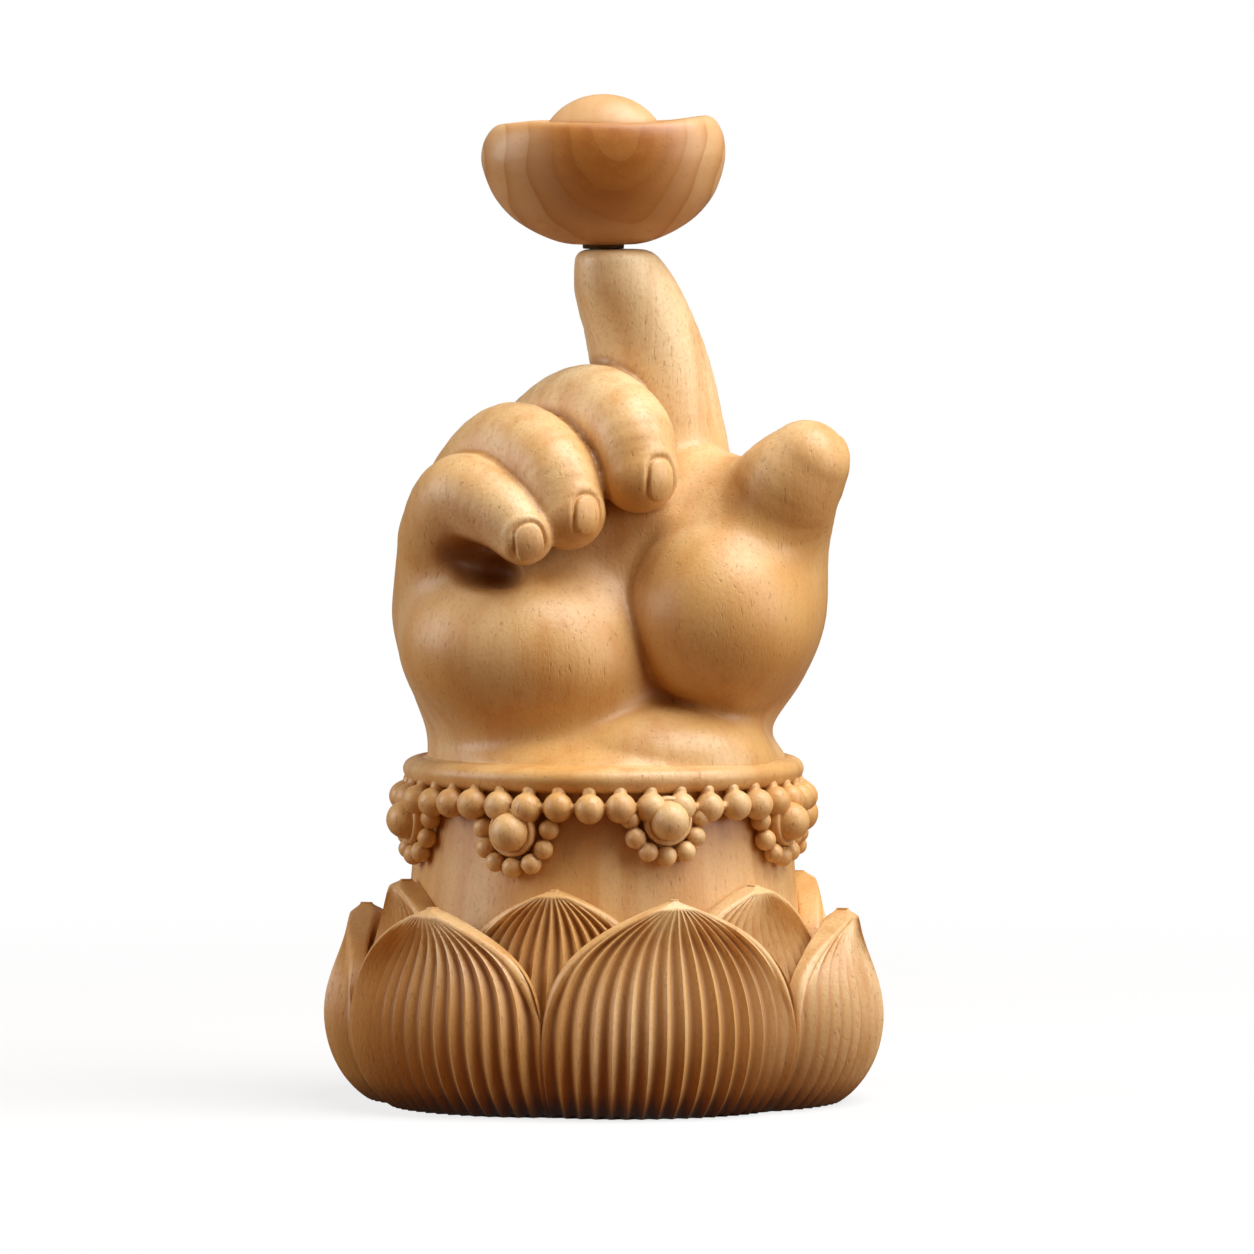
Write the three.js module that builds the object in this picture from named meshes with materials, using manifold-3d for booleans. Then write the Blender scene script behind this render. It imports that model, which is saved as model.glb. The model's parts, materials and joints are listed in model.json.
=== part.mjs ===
// A carved wooden hand on a lotus seat, with a boat-shaped ingot that turns on its raised finger.
// Millimetres, +Z up, the palm towards -Y. The origin is the centre of the flat underside.
import * as THREE from "three";
import { mergeVertices } from "three/addons/utils/BufferGeometryUtils.js";
import Module from "manifold-3d";

const wasm = await Module();
wasm.setup();

// Fits
const JOINT_GAP = 0.3; // glue line between two pieces of wood
const PIVOT_GAP = 0.08; // running clearance of the pin in its cup

// Wrist drum and the rim on top of it
const WRIST_RADIUS = 19.1;
const RIM_THICKNESS = 2.5;
const RIM_OVERHANG = 1.6; // how far the rim stands out past the top of the drum
const DRUM_HEIGHT = 26.7;
const DRUM_FLARE = 2.2; // how much wider the drum is at its foot

// Lotus seat
const PETAL_COUNT = 6; // in each ring
const LOTUS_TURN = 16.6; // degrees from the front to the nearest outer petal
const CORE_HEIGHT = 8;
const OUTER_PETAL_HEIGHT = 22.4;
const OUTER_PETAL_BODY = 3.8; // thickness at the belly
const OUTER_PETAL_EDGE = 3; // thickness at the tip
const OUTER_PETAL_CROWN = 1.9; // how far the sides fall back behind the middle
const BELLY_HEIGHT = 9.5;
const BELLY_SEAT = 4.8; // from the drum's foot out to the inside of the outer petals
const FOOT_TUCK = 4.8; // how far the foot is drawn in below the belly
const TIP_LEAN = 2.6; // how far the outer tips lean in from the belly
const INNER_PETAL_HEIGHT = 16.4;
const INNER_PETAL_EDGE = 2.6;
const INNER_PETAL_CROWN = 1.2;
const TIP_HALF_WIDTH = 0.4; // the blunt end of a petal
const OUTER_PETAL_POINT = 1.25; // how sharply the outline draws in to the tip
const INNER_PETAL_POINT = 1;
const OUTER_FLUTES = 16; // hollows across an outer petal
const INNER_FLUTES = 14;
const FLUTE_DEPTH = 0.8;
const FLUTE_PITCH = 1.3; // narrower flutes are shallower too
const FLUTED_SHARE = 0.975; // of a petal's width
const FOOT_LIP = 0.35; // plain border beside the flutes, at the foot of a petal
const TIP_LIP = 1.95; // the same border near the tip

// Bead garland
const PENDANT_COUNT = 8;
const PENDANT_TURN = 18.5; // degrees from the front to the nearest pendant
const BEADS_PER_PENDANT = 5;
const BEAD_DIAMETER = 2.9;
const STRING_DIAMETER = 1.0;
const BEAD_HANG = 2.1; // from the top of the drum down to the middle of the beads
const ROSETTE_DIAMETER = 5.4;
const ROSETTE_HEIGHT = 4.2;
const ROSETTE_HANG = 1.7; // from the string down to the middle of a rosette
const DROP_BEADS = 6;
const DROP_BEAD_DIAMETER = 2.1;

// Hand
const PALM_HALF_WIDTH = 22.5;
const PALM_HALF_DEPTH = 16;
const PALM_HEIGHT = 36;
const HEEL_LEAN = 10; // degrees that the inner end of the heel dips
const INDEX_LENGTH = 34; // from the root inside the palm to the flat fingertip

// Ingot and its pivot
const INGOT_HALF_LENGTH = 13.4;
const INGOT_HALF_WIDTH = 8.6;
const INGOT_HEIGHT = 14; // from the underside to the raised ends
const INGOT_DIP = 0.4; // how far the rim sags between the ends
const INGOT_WALL = 1.7;
const INGOT_HOLLOW = 3.6; // depth of the hollow round the crown
const CROWN_HEIGHT = 6.3;
const INGOT_LIFT = 0.6; // the dark gap between fingertip and ingot
const PIN_DIAMETER = 2;
const PIN_SEAT = 7; // length of the pin inside the finger
const PIN_REACH = 5.5; // length of the pin above the fingertip
const CUP_WALL = 1.2;
const DOWEL_DIAMETER = 8;
const DOWEL_SEAT = 5; // length of the dowel in the core
const DOWEL_REACH = 9; // length of the dowel in the palm

// Facets
const TURNED_SIDES = 36;
const LIMB_SIDES = 14;
const MOUND_SIDES = 16;
const SMALL_SIDES = 12;
const BEAD_SIDES = 5;
const OUTER_PETAL_ROWS = 8;
const MERGE_DISTANCE = 1e-4;

const degrees = THREE.MathUtils.degToRad;

const wood = { roughness: 0.45, metalness: 0 };
const boxwood = new THREE.MeshStandardMaterial({ color: 0xd2a468, ...wood });
const ingotWood = new THREE.MeshStandardMaterial({ color: 0xc98f4f, ...wood });
const dowelWood = new THREE.MeshStandardMaterial({ color: 0xd9b98a, ...wood });
const steel = new THREE.MeshStandardMaterial({ color: 0xb8bcc0, roughness: 0.3, metalness: 1 });
const brass = new THREE.MeshStandardMaterial({ color: 0xc7a24a, roughness: 0.35, metalness: 1 });

// Solids and meshes

function geometryOf(points, triangles) {
  const geometry = new THREE.BufferGeometry();
  const places = points.flatMap((p) => [p.x, p.y, p.z]);
  geometry.setAttribute("position", new THREE.Float32BufferAttribute(places, 3));
  geometry.setIndex(triangles);
  return geometry;
}

function solidOf(geometry) {
  const bare = geometry.clone();
  bare.deleteAttribute("normal");
  bare.deleteAttribute("uv");
  const merged = mergeVertices(bare, MERGE_DISTANCE);
  const corners = Array.from(merged.index.array);
  const triangles = [];
  for (let i = 0; i < corners.length; i += 3) {
    const [a, b, c] = corners.slice(i, i + 3);
    if (a !== b && b !== c && c !== a) triangles.push(a, b, c);
  }
  const vertProperties = merged.attributes.position.array;
  return new wasm.Manifold(new wasm.Mesh({ numProp: 3, vertProperties, triVerts: new Uint32Array(triangles) }));
}

function meshOf(name, solid, material) {
  const { vertProperties, triVerts } = solid.getMesh();
  const geometry = new THREE.BufferGeometry();
  geometry.setAttribute("position", new THREE.BufferAttribute(vertProperties, 3));
  geometry.setIndex(new THREE.BufferAttribute(triVerts, 1));
  geometry.computeVertexNormals();
  const mesh = new THREE.Mesh(geometry, material);
  mesh.name = name;
  return mesh;
}

// The largest body of a cut: the offcuts fall away.
function mainBody(solid) {
  return solid.decompose().reduce((best, body) => (body.volume() > best.volume() ? body : best));
}

// A closed skin over rings of equally many points, with a fan over each end.
function loft(rings) {
  const sides = rings[0].length;
  const points = rings.flat();
  const triangles = [];
  for (let r = 0; r + 1 < rings.length; r++) {
    for (let s = 0; s < sides; s++) {
      const a = r * sides + s;
      const b = r * sides + ((s + 1) % sides);
      triangles.push(a, b, b + sides, a, b + sides, a + sides);
    }
  }
  const last = (rings.length - 1) * sides;
  const centreOf = (ring) => ring.reduce((sum, p) => sum.add(p), new THREE.Vector3()).divideScalar(sides);
  const start = points.push(centreOf(rings[0])) - 1;
  const end = points.push(centreOf(rings[rings.length - 1])) - 1;
  for (let s = 0; s < sides; s++) {
    const next = (s + 1) % sides;
    triangles.push(start, next, s);
    triangles.push(end, last + s, last + next);
  }
  return solidOf(geometryOf(points, triangles));
}

// A shape turned about Z from [radius, height] pairs that start and end on the axis or close on themselves.
function turnedGeometry(profile, sides = TURNED_SIDES) {
  const lathe = new THREE.LatheGeometry(profile.map(([r, z]) => new THREE.Vector2(r, z)), sides);
  return lathe.rotateX(Math.PI / 2);
}

function turned(profile, sides) {
  return solidOf(turnedGeometry(profile, sides));
}

function cylinder(radius, low, high, sides, centre = new THREE.Vector3()) {
  const geometry = turnedGeometry([[0, low], [radius, low], [radius, high], [0, high]], sides);
  return solidOf(geometry.translate(centre.x, centre.y, centre.z));
}

// A limb along a smooth line. Each station is [point, radius]; `across` is square to the bend.
function limb(stations, across, { grow = 0, sides = LIMB_SIDES, steps = 4 } = {}) {
  const line = new THREE.CatmullRomCurve3(stations.map(([point]) => point));
  const sizes = new THREE.CatmullRomCurve3(stations.map(([, radius]) => new THREE.Vector3(radius, 0, 0)));
  const count = (stations.length - 1) * steps;
  const rings = [];
  const ringAt = (t, shift, shrink) => {
    const tangent = line.getTangent(t);
    const normal = new THREE.Vector3().crossVectors(tangent, across).normalize();
    const side = new THREE.Vector3().crossVectors(normal, tangent);
    const radius = sizes.getPoint(t).x + grow;
    const centre = line.getPoint(t).addScaledVector(tangent, shift * radius);
    rings.push(
      Array.from({ length: sides }, (_, i) => {
        const angle = (i / sides) * 2 * Math.PI;
        return centre
          .clone()
          .addScaledVector(side, Math.cos(angle) * radius * shrink)
          .addScaledVector(normal, Math.sin(angle) * radius * shrink);
      }),
    );
  };
  const dome = [0.95, 0.8, 0.5].map((height) => [height, Math.sqrt(1 - height * height)]);
  for (const [height, width] of dome) ringAt(0, -height, width);
  for (let i = 0; i <= count; i++) ringAt(i / count, 0, 1);
  for (const [height, width] of dome.toReversed()) ringAt(1, height, width);
  return loft(rings);
}

// `lean` tips the top towards +X.
function ellipsoid(centre, halfSizes, grow, lean = 0) {
  const ball = new THREE.SphereGeometry(1, MOUND_SIDES, MOUND_SIDES / 2 + 2);
  ball.rotateX(Math.PI / 2);
  ball.scale(halfSizes.x + grow, halfSizes.y + grow, halfSizes.z + grow);
  ball.rotateY(lean);
  ball.translate(centre.x, centre.y, centre.z);
  return solidOf(ball);
}

// Sizes that follow from the ones above

const rimRing = WRIST_RADIUS + JOINT_GAP + RIM_THICKNESS / 2;
const drumTopRadius = rimRing + RIM_THICKNESS / 2 - RIM_OVERHANG;
const drumFootRadius = drumTopRadius + DRUM_FLARE;
const drumFoot = CORE_HEIGHT + JOINT_GAP;
const drumTop = drumFoot + DRUM_HEIGHT;
const handSeat = drumTop + JOINT_GAP;
const rimTop = handSeat + RIM_THICKNESS;
const dowelRadius = DOWEL_DIAMETER / 2;
const pinRadius = PIN_DIAMETER / 2;
const bellyRadius = drumFootRadius + BELLY_SEAT + OUTER_PETAL_BODY;

const drumRadiusAt = (z) => drumFootRadius - (DRUM_FLARE * (z - drumFoot)) / DRUM_HEIGHT;

// Lotus seat

// The outside of an outer petal from foot to tip, as [radius, height].
const belly = new THREE.CurvePath();
belly.add(
  new THREE.CubicBezierCurve(
    new THREE.Vector2(bellyRadius - FOOT_TUCK, 0),
    new THREE.Vector2(bellyRadius - FOOT_TUCK * 0.35, BELLY_HEIGHT * 0.2),
    new THREE.Vector2(bellyRadius, BELLY_HEIGHT * 0.6),
    new THREE.Vector2(bellyRadius, BELLY_HEIGHT),
  ),
);
belly.add(
  new THREE.CubicBezierCurve(
    new THREE.Vector2(bellyRadius, BELLY_HEIGHT),
    new THREE.Vector2(bellyRadius, BELLY_HEIGHT + (OUTER_PETAL_HEIGHT - BELLY_HEIGHT) * 0.4),
    new THREE.Vector2(bellyRadius - TIP_LEAN * 1.2, BELLY_HEIGHT + (OUTER_PETAL_HEIGHT - BELLY_HEIGHT) * 0.7),
    new THREE.Vector2(bellyRadius - TIP_LEAN, OUTER_PETAL_HEIGHT),
  ),
);

const outerFace = (v) => belly.getPoint(v);
const outerThickness = (v) =>
  THREE.MathUtils.lerp(OUTER_PETAL_BODY, OUTER_PETAL_EDGE, THREE.MathUtils.smoothstep(v, 0.3, 1));
const outerBack = (v) => {
  const face = outerFace(v);
  return new THREE.Vector2(face.x - outerThickness(v), face.y);
};

// Where a rising face has a given height.
function radiusAtHeight(face, height) {
  let low = 0;
  let high = 1;
  for (let i = 0; i < 30; i++) {
    const middle = (low + high) / 2;
    if (face(middle).y < height) low = middle;
    else high = middle;
  }
  return face(low).x;
}

// The rows of a petal lie closer together towards its tip.
const petalRow = (row, rows) => Math.sin(((row / rows) * Math.PI) / 2);

// Triangles between two lines of points that run the same way, whatever their counts.
function strip(triangles, near, far) {
  let i = 0;
  let j = 0;
  while (i + 1 < near.length || j + 1 < far.length) {
    if ((i + 1) / (near.length - 1) <= (j + 1) / (far.length - 1)) {
      triangles.push(near[i], near[i + 1], far[j]);
      i += 1;
    } else {
      triangles.push(near[i], far[j + 1], far[j]);
      j += 1;
    }
  }
}

// A petal between two turned faces. Its sides draw in to a blunt tip, and fall back behind its middle.
// Flutes run up its outside and end below the last two rows. Each column has its share across,
// and 1 where it lies in a hollow or 0 where it doesn't.
function petal({ face, back, crown, halfAngle, point, flutes, across = 8, up = OUTER_PETAL_ROWS }) {
  const { lerp, smoothstep } = THREE.MathUtils;
  const foot = face(0).y;
  const tip = face(1).y;
  const plain = Array.from({ length: across + 1 }, (_, i) => [(2 * i) / across - 1, 0]);
  const fluted = Array.from({ length: 2 * flutes + 1 }, (_, i) => [(i / flutes - 1) * FLUTED_SHARE, i % 2]);
  const points = [];
  const lineAt = (surface, v, fall, columns) => {
    const { x: radius, y: height } = surface(v);
    const climb = (height - foot) / (tip - foot);
    const share = (1 - (height / tip) ** 6) ** point;
    const width = Math.max(halfAngle * share, TIP_HALF_WIDTH / radius);
    const pitch = (2 * width * radius) / flutes;
    const depth = FLUTE_DEPTH * Math.min(pitch / FLUTE_PITCH, 1) * (1 - smoothstep(climb, 0.84, 1));
    const lip = lerp(FOOT_LIP, TIP_LIP, smoothstep(climb, 0.35, 0.75));
    return columns.map(([u, hollow]) => {
      const angle = u * width;
      const inset = (1 - Math.abs(u)) * width * radius;
      const cut = hollow * depth * smoothstep(inset, lip * 0.45, lip * 1.1);
      const reach = radius - fall * (angle / halfAngle) ** 2 - cut;
      return points.push(new THREE.Vector3(reach * Math.sin(angle), -reach * Math.cos(angle), height)) - 1;
    });
  };
  const fronts = [];
  const backs = [];
  for (let row = 0; row <= up; row++) {
    const v = petalRow(row, up);
    fronts.push(lineAt(face, v, crown, row < up - 1 ? [[-1, 0], ...fluted, [1, 0]] : plain));
    backs.push(lineAt(back, v, 0, plain));
  }
  const triangles = [];
  for (let row = 0; row < up; row++) {
    strip(triangles, fronts[row], fronts[row + 1]);
    strip(triangles, backs[row + 1], backs[row]);
  }
  const left = (line) => line[0];
  const right = (line) => line[line.length - 1];
  strip(triangles, fronts.map(left), backs.map(left));
  strip(triangles, backs.map(right), fronts.map(right));
  strip(triangles, backs[0], fronts[0]);
  strip(triangles, fronts[up], backs[up]);
  return solidOf(geometryOf(points, triangles));
}

function petalHalfAngle(radius) {
  return Math.PI / PETAL_COUNT - JOINT_GAP / 2 / radius;
}

function makeOuterPetal() {
  const halfAngle = petalHalfAngle(outerBack(0).x);
  return petal({
    face: outerFace,
    back: outerBack,
    crown: OUTER_PETAL_CROWN,
    halfAngle,
    point: OUTER_PETAL_POINT,
    flutes: OUTER_FLUTES,
  });
}

function makeInnerPetal() {
  const foot = drumFoot;
  const tip = foot + INNER_PETAL_HEIGHT;
  const footFace = radiusAtHeight(outerBack, foot) - JOINT_GAP;
  const backAt = (z) => drumRadiusAt(z) + JOINT_GAP;
  const tipFace = backAt(tip) + INNER_PETAL_EDGE;
  const bulge = new THREE.CubicBezierCurve(
    new THREE.Vector2(footFace, foot),
    new THREE.Vector2(footFace, foot + INNER_PETAL_HEIGHT * 0.4),
    new THREE.Vector2(tipFace, foot + INNER_PETAL_HEIGHT * 0.7),
    new THREE.Vector2(tipFace, tip),
  );
  const face = (v) => bulge.getPoint(v);
  const back = (v) => new THREE.Vector2(backAt(face(v).y), face(v).y);
  return petal({
    face,
    back,
    crown: INNER_PETAL_CROWN,
    halfAngle: petalHalfAngle(backAt(foot)),
    point: INNER_PETAL_POINT,
    flutes: INNER_FLUTES,
    across: 6,
    up: 6,
  });
}

function makeCore() {
  const profile = [[0, 0]];
  for (let row = 0; row <= OUTER_PETAL_ROWS; row++) {
    const { x, y } = outerBack(petalRow(row, OUTER_PETAL_ROWS));
    if (y < CORE_HEIGHT) profile.push([x - JOINT_GAP, y]);
  }
  profile.push([radiusAtHeight(outerBack, CORE_HEIGHT) - JOINT_GAP, CORE_HEIGHT]);
  const bore = dowelRadius + JOINT_GAP;
  profile.push([bore, CORE_HEIGHT], [bore, CORE_HEIGHT - DOWEL_SEAT], [0, CORE_HEIGHT - DOWEL_SEAT]);
  return turned(profile);
}

// Drum, rim and dowel

function makeDrum() {
  const bore = dowelRadius + JOINT_GAP;
  return turned([
    [bore, drumFoot],
    [drumFootRadius, drumFoot],
    [drumTopRadius, drumTop],
    [bore, drumTop],
    [bore, drumFoot],
  ]);
}

function makeRim() {
  const radius = RIM_THICKNESS / 2;
  const round = new THREE.EllipseCurve(rimRing, handSeat + radius, radius, radius);
  return turned(round.getPoints(8).map((p) => [p.x, p.y]));
}

function makeDowel() {
  const low = CORE_HEIGHT - DOWEL_SEAT + JOINT_GAP;
  const high = handSeat + DOWEL_REACH - JOINT_GAP;
  return cylinder(dowelRadius, low, high, SMALL_SIDES);
}

// Bead garland

const beadRadius = BEAD_DIAMETER / 2;
const stringHeight = drumTop - BEAD_HANG;
const rosetteHeight = stringHeight - ROSETTE_HANG;
const dropRadius = DROP_BEAD_DIAMETER / 2;
const dropArc = ROSETTE_DIAMETER / 2 + JOINT_GAP + dropRadius;

// The swelling of a string of beads at a share of one bead's pitch: a ball, or the string between balls.
function beadSwell(share, pitch, radius) {
  const along = (share - 0.5) * pitch;
  return Math.max(Math.sqrt(Math.max(radius * radius - along * along, 0)), STRING_DIAMETER / 2);
}

const BEAD_SHARES = [0.08, 0.32, 0.68, 0.92]; // where one bead's swelling is taken

function makeBeadString() {
  const count = PENDANT_COUNT * BEADS_PER_PENDANT;
  const ring = drumRadiusAt(stringHeight) + beadRadius + JOINT_GAP;
  const pitch = (2 * Math.PI * ring) / count;
  const stations = [];
  for (let bead = 0; bead < count; bead++) {
    for (const share of BEAD_SHARES) stations.push([bead + share, beadSwell(share, pitch, beadRadius)]);
  }
  const sides = BEAD_SIDES;
  const points = [];
  for (const [place, swell] of stations) {
    const angle = (place / count) * 2 * Math.PI;
    for (let s = 0; s < sides; s++) {
      const around = (s / sides) * 2 * Math.PI;
      const reach = ring + swell * Math.cos(around);
      const height = stringHeight + swell * Math.sin(around);
      points.push(new THREE.Vector3(reach * Math.sin(angle), -reach * Math.cos(angle), height));
    }
  }
  const triangles = [];
  for (let r = 0; r < stations.length; r++) {
    const next = (r + 1) % stations.length;
    for (let s = 0; s < sides; s++) {
      const t = (s + 1) % sides;
      const [a, b, c, d] = [r * sides + s, next * sides + s, next * sides + t, r * sides + t];
      triangles.push(a, b, c, a, c, d);
    }
  }
  return solidOf(geometryOf(points, triangles));
}

// A round button with a stepped edge, facing -Y at the front of the drum.
function makeRosette(beadString) {
  const radius = ROSETTE_DIAMETER / 2;
  const step = ROSETTE_HEIGHT * 0.45;
  const profile = [
    [0, 0],
    [radius * 0.9, 0],
    [radius, step * 0.6],
    [radius * 0.78, step],
    [radius * 0.7, step * 1.6],
    [radius * 0.4, ROSETTE_HEIGHT * 0.93],
    [0, ROSETTE_HEIGHT],
  ];
  const sagitta = (radius * radius) / (2 * drumRadiusAt(rosetteHeight - radius));
  const seat = drumRadiusAt(rosetteHeight - radius) + JOINT_GAP - sagitta / 2;
  const button = turnedGeometry(profile, SMALL_SIDES).rotateX(Math.PI / 2).translate(0, -seat, rosetteHeight);
  return mainBody(solidOf(button).subtract(beadString));
}

// A string of small beads in a U under a rosette, wrapped on the drum.
function makeDrop() {
  const span = degrees(150);
  const pitch = (span * dropArc) / (DROP_BEADS - 1);
  const stations = [];
  for (let bead = 0; bead < DROP_BEADS; bead++) {
    for (const share of BEAD_SHARES) {
      const turn = degrees(195) + (bead + share - 0.5) * (span / (DROP_BEADS - 1));
      const height = rosetteHeight + dropArc * Math.sin(turn);
      const ring = drumRadiusAt(height) + dropRadius + JOINT_GAP;
      const angle = (dropArc * Math.cos(turn)) / ring;
      const point = new THREE.Vector3(ring * Math.sin(angle), -ring * Math.cos(angle), height);
      stations.push([point, beadSwell(share, pitch, dropRadius)]);
    }
  }
  const sides = BEAD_SIDES;
  const rings = stations.map(([point, swell], i) => {
    const before = stations[Math.max(i - 1, 0)][0];
    const after = stations[Math.min(i + 1, stations.length - 1)][0];
    const tangent = after.clone().sub(before).normalize();
    const outward = new THREE.Vector3(point.x, point.y, 0).normalize();
    const side = new THREE.Vector3().crossVectors(outward, tangent).normalize();
    return Array.from({ length: sides }, (_, s) => {
      const around = (s / sides) * 2 * Math.PI;
      return point
        .clone()
        .addScaledVector(outward, swell * Math.cos(around))
        .addScaledVector(side, -swell * Math.sin(around));
    });
  });
  return loft(rings);
}

// Hand

// A place in the hand: shares of half the palm's width, half its depth, and its height above the rim's seat.
function spot(x, y, z) {
  return new THREE.Vector3(x * PALM_HALF_WIDTH, y * PALM_HALF_DEPTH, handSeat + z * PALM_HEIGHT);
}

function palmBody(grow) {
  const round = (z, x, y, halfWidth, halfDepth) => {
    const centre = new THREE.Vector3(x, y, z);
    return Array.from({ length: MOUND_SIDES * 2 }, (_, i) => {
      const angle = (i / (MOUND_SIDES * 2)) * 2 * Math.PI;
      const sideways = (halfWidth + grow) * Math.cos(angle);
      const inDepth = (halfDepth + grow) * Math.sin(angle);
      return new THREE.Vector3(sideways, inDepth, 0).add(centre);
    });
  };
  const part = (z, x, y, halfWidth, halfDepth) =>
    round(
      handSeat + z * PALM_HEIGHT,
      x * PALM_HALF_WIDTH,
      y * PALM_HALF_DEPTH,
      halfWidth * PALM_HALF_WIDTH,
      halfDepth * PALM_HALF_DEPTH,
    );
  return loft([
    round(handSeat - grow, 0, 0, WRIST_RADIUS, WRIST_RADIUS),
    round(rimTop, 0, 0, WRIST_RADIUS, WRIST_RADIUS),
    part(0.16, -0.04, 0.1, 0.82, 1),
    part(0.31, -0.02, 0.23, 0.92, 0.83),
    part(0.5, 0, 0.22, 0.99, 0.82),
    part(0.7, -0.01, 0.23, 0.95, 0.79),
    part(0.86, -0.02, 0.27, 0.84, 0.69),
    part(0.95, -0.02, 0.32, 0.6, 0.48),
    part(1 + grow / PALM_HEIGHT, -0.02, 0.34, 0.3, 0.24),
  ]);
}

// A mound of the palm, in the same shares.
function mound(grow, x, y, z, halfWidth, halfDepth, halfHeight, lean) {
  const halfSizes = new THREE.Vector3(halfWidth * PALM_HALF_WIDTH, halfDepth * PALM_HALF_DEPTH, 0);
  halfSizes.z = halfHeight * PALM_HEIGHT;
  return ellipsoid(spot(x, y, z), halfSizes, grow, lean);
}

function palmMounds(grow) {
  const heel = mound(grow, -0.365, -0.4, 0.39, 0.631, 0.706, 0.289, degrees(HEEL_LEAN));
  const thumbBall = mound(grow, 0.555, -0.29, 0.51, 0.489, 0.788, 0.322);
  const wristFold = mound(grow, 0.22, -0.47, 0.07, 0.6, 0.66, 0.19);
  const web = mound(grow, 0.42, 0.06, 0.835, 0.293, 0.45, 0.172);
  const belowRim = cylinder(2 * WRIST_RADIUS, handSeat - PALM_HEIGHT, rimTop + JOINT_GAP - grow);
  return heel.add(thumbBall).add(wristFold).add(web).subtract(belowRim);
}

// The hollow under the curled little finger. It shrinks where the palm grows.
function curlHollow(grow) {
  return mound(-grow, -0.6, -0.78, 0.66, 0.178, 0.313, 0.072);
}

function palmSolid(grow = 0) {
  return palmBody(grow).add(palmMounds(grow)).subtract(curlHollow(grow));
}

const fingerRow = new THREE.Vector3(0.82, 0.57, 0); // along the knuckles, from little finger to index
const acrossThumb = new THREE.Vector3(0, 1, 0);

const littleFinger = [
  [spot(-0.76, -0.06, 0.53), 4.7],
  [spot(-0.775, -0.34, 0.74), 4.9],
  [spot(-0.68, -0.58, 0.87), 4.9],
  [spot(-0.5, -0.81, 0.83), 4],
  [spot(-0.385, -0.94, 0.765), 3.3],
];
const ringFinger = [
  [spot(-0.64, 0.12, 0.69), 5.6],
  [spot(-0.61, -0.1, 0.89), 5.5],
  [spot(-0.44, -0.34, 1.01), 5.3],
  [spot(-0.25, -0.66, 0.95), 4.7],
  [spot(-0.17, -0.8, 0.83), 4.1],
];
const middleFinger = [
  [spot(-0.4, 0.44, 0.8), 6],
  [spot(-0.27, 0.28, 1.015), 5.8],
  [spot(-0.07, -0.04, 1.115), 5.5],
  [spot(0.115, -0.5, 1.065), 4.9],
  [spot(0.175, -0.66, 0.945), 4.3],
];
const thumb = [
  [spot(0.62, -0.16, 0.55), 8],
  [spot(0.77, -0.14, 0.73), 7.3],
  [spot(0.875, -0.4, 0.88), 6.1],
  [spot(0.985, -0.5, 0.975), 4.7],
];

// The index finger rises from its root to the flat fingertip under the ingot.
const indexRoot = spot(0.33, 0.4, 0.67);
const alongIndex = (x, y, rise) => indexRoot.clone().add(new THREE.Vector3(x, y, rise * INDEX_LENGTH));
const indexFinger = [
  [indexRoot, 7.4],
  [alongIndex(-0.9, -0.4, 0.35), 7.1],
  [alongIndex(-2.1, -1.4, 0.59), 6.6],
  [alongIndex(-4, -3.2, 0.79), 5.8],
  [alongIndex(-5.6, -4.8, 0.9), 5],
  [alongIndex(-6.2, -5.4, 0.95), 4.4],
];
const fingertip = alongIndex(-6.2, -5.4, 1);

const finger = (stations, options) => limb(stations, fingerRow, options);
const grown = { grow: JOINT_GAP };

function makePalm() {
  const bore = cylinder(dowelRadius + JOINT_GAP, handSeat - DOWEL_REACH, handSeat + DOWEL_REACH, SMALL_SIDES);
  return palmSolid().subtract(bore);
}

function makeFingers() {
  const palm = palmSolid(JOINT_GAP);
  const fit = (solid, ...others) => mainBody(others.reduce((left, other) => left.subtract(other), solid));
  const pinBore = cylinder(pinRadius + JOINT_GAP, -PIN_SEAT, PIN_REACH, SMALL_SIDES, pivot);
  const aboveTip = cylinder(INGOT_HALF_LENGTH, 0, INGOT_HEIGHT, SMALL_SIDES, fingertip);
  const besideLittle = finger(littleFinger, grown);
  const besideRing = finger(ringFinger, grown);
  const besideMiddle = finger(middleFinger, grown);
  const besideThumb = limb(thumb, acrossThumb, grown);
  return {
    thumb: fit(limb(thumb, acrossThumb), palm),
    little_finger: fit(finger(littleFinger), palm, besideThumb),
    ring_finger: fit(finger(ringFinger), palm, besideThumb, besideLittle),
    middle_finger: fit(finger(middleFinger), palm, besideThumb, besideLittle, besideRing),
    index_finger: fit(finger(indexFinger), palm, besideThumb, besideRing, besideMiddle, pinBore, aboveTip),
  };
}

// Ingot and pivot

const pivot = new THREE.Vector3(0, fingertip.y, fingertip.z); // on the fingertip, over the middle of the seat
const ingotFloor = INGOT_HEIGHT - INGOT_DIP - INGOT_HOLLOW;

// One level round of the boat, at a share of its half sizes. The ends rise above the middle by `rise`.
function boatRound(share, height, rise) {
  return Array.from({ length: MOUND_SIDES * 2 }, (_, i) => {
    const angle = (i / (MOUND_SIDES * 2)) * 2 * Math.PI;
    const x = INGOT_HALF_LENGTH * share.x * Math.cos(angle);
    const y = INGOT_HALF_WIDTH * share.y * Math.sin(angle);
    return new THREE.Vector3(x, y, height + rise * Math.cos(angle) ** 2);
  });
}

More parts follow.
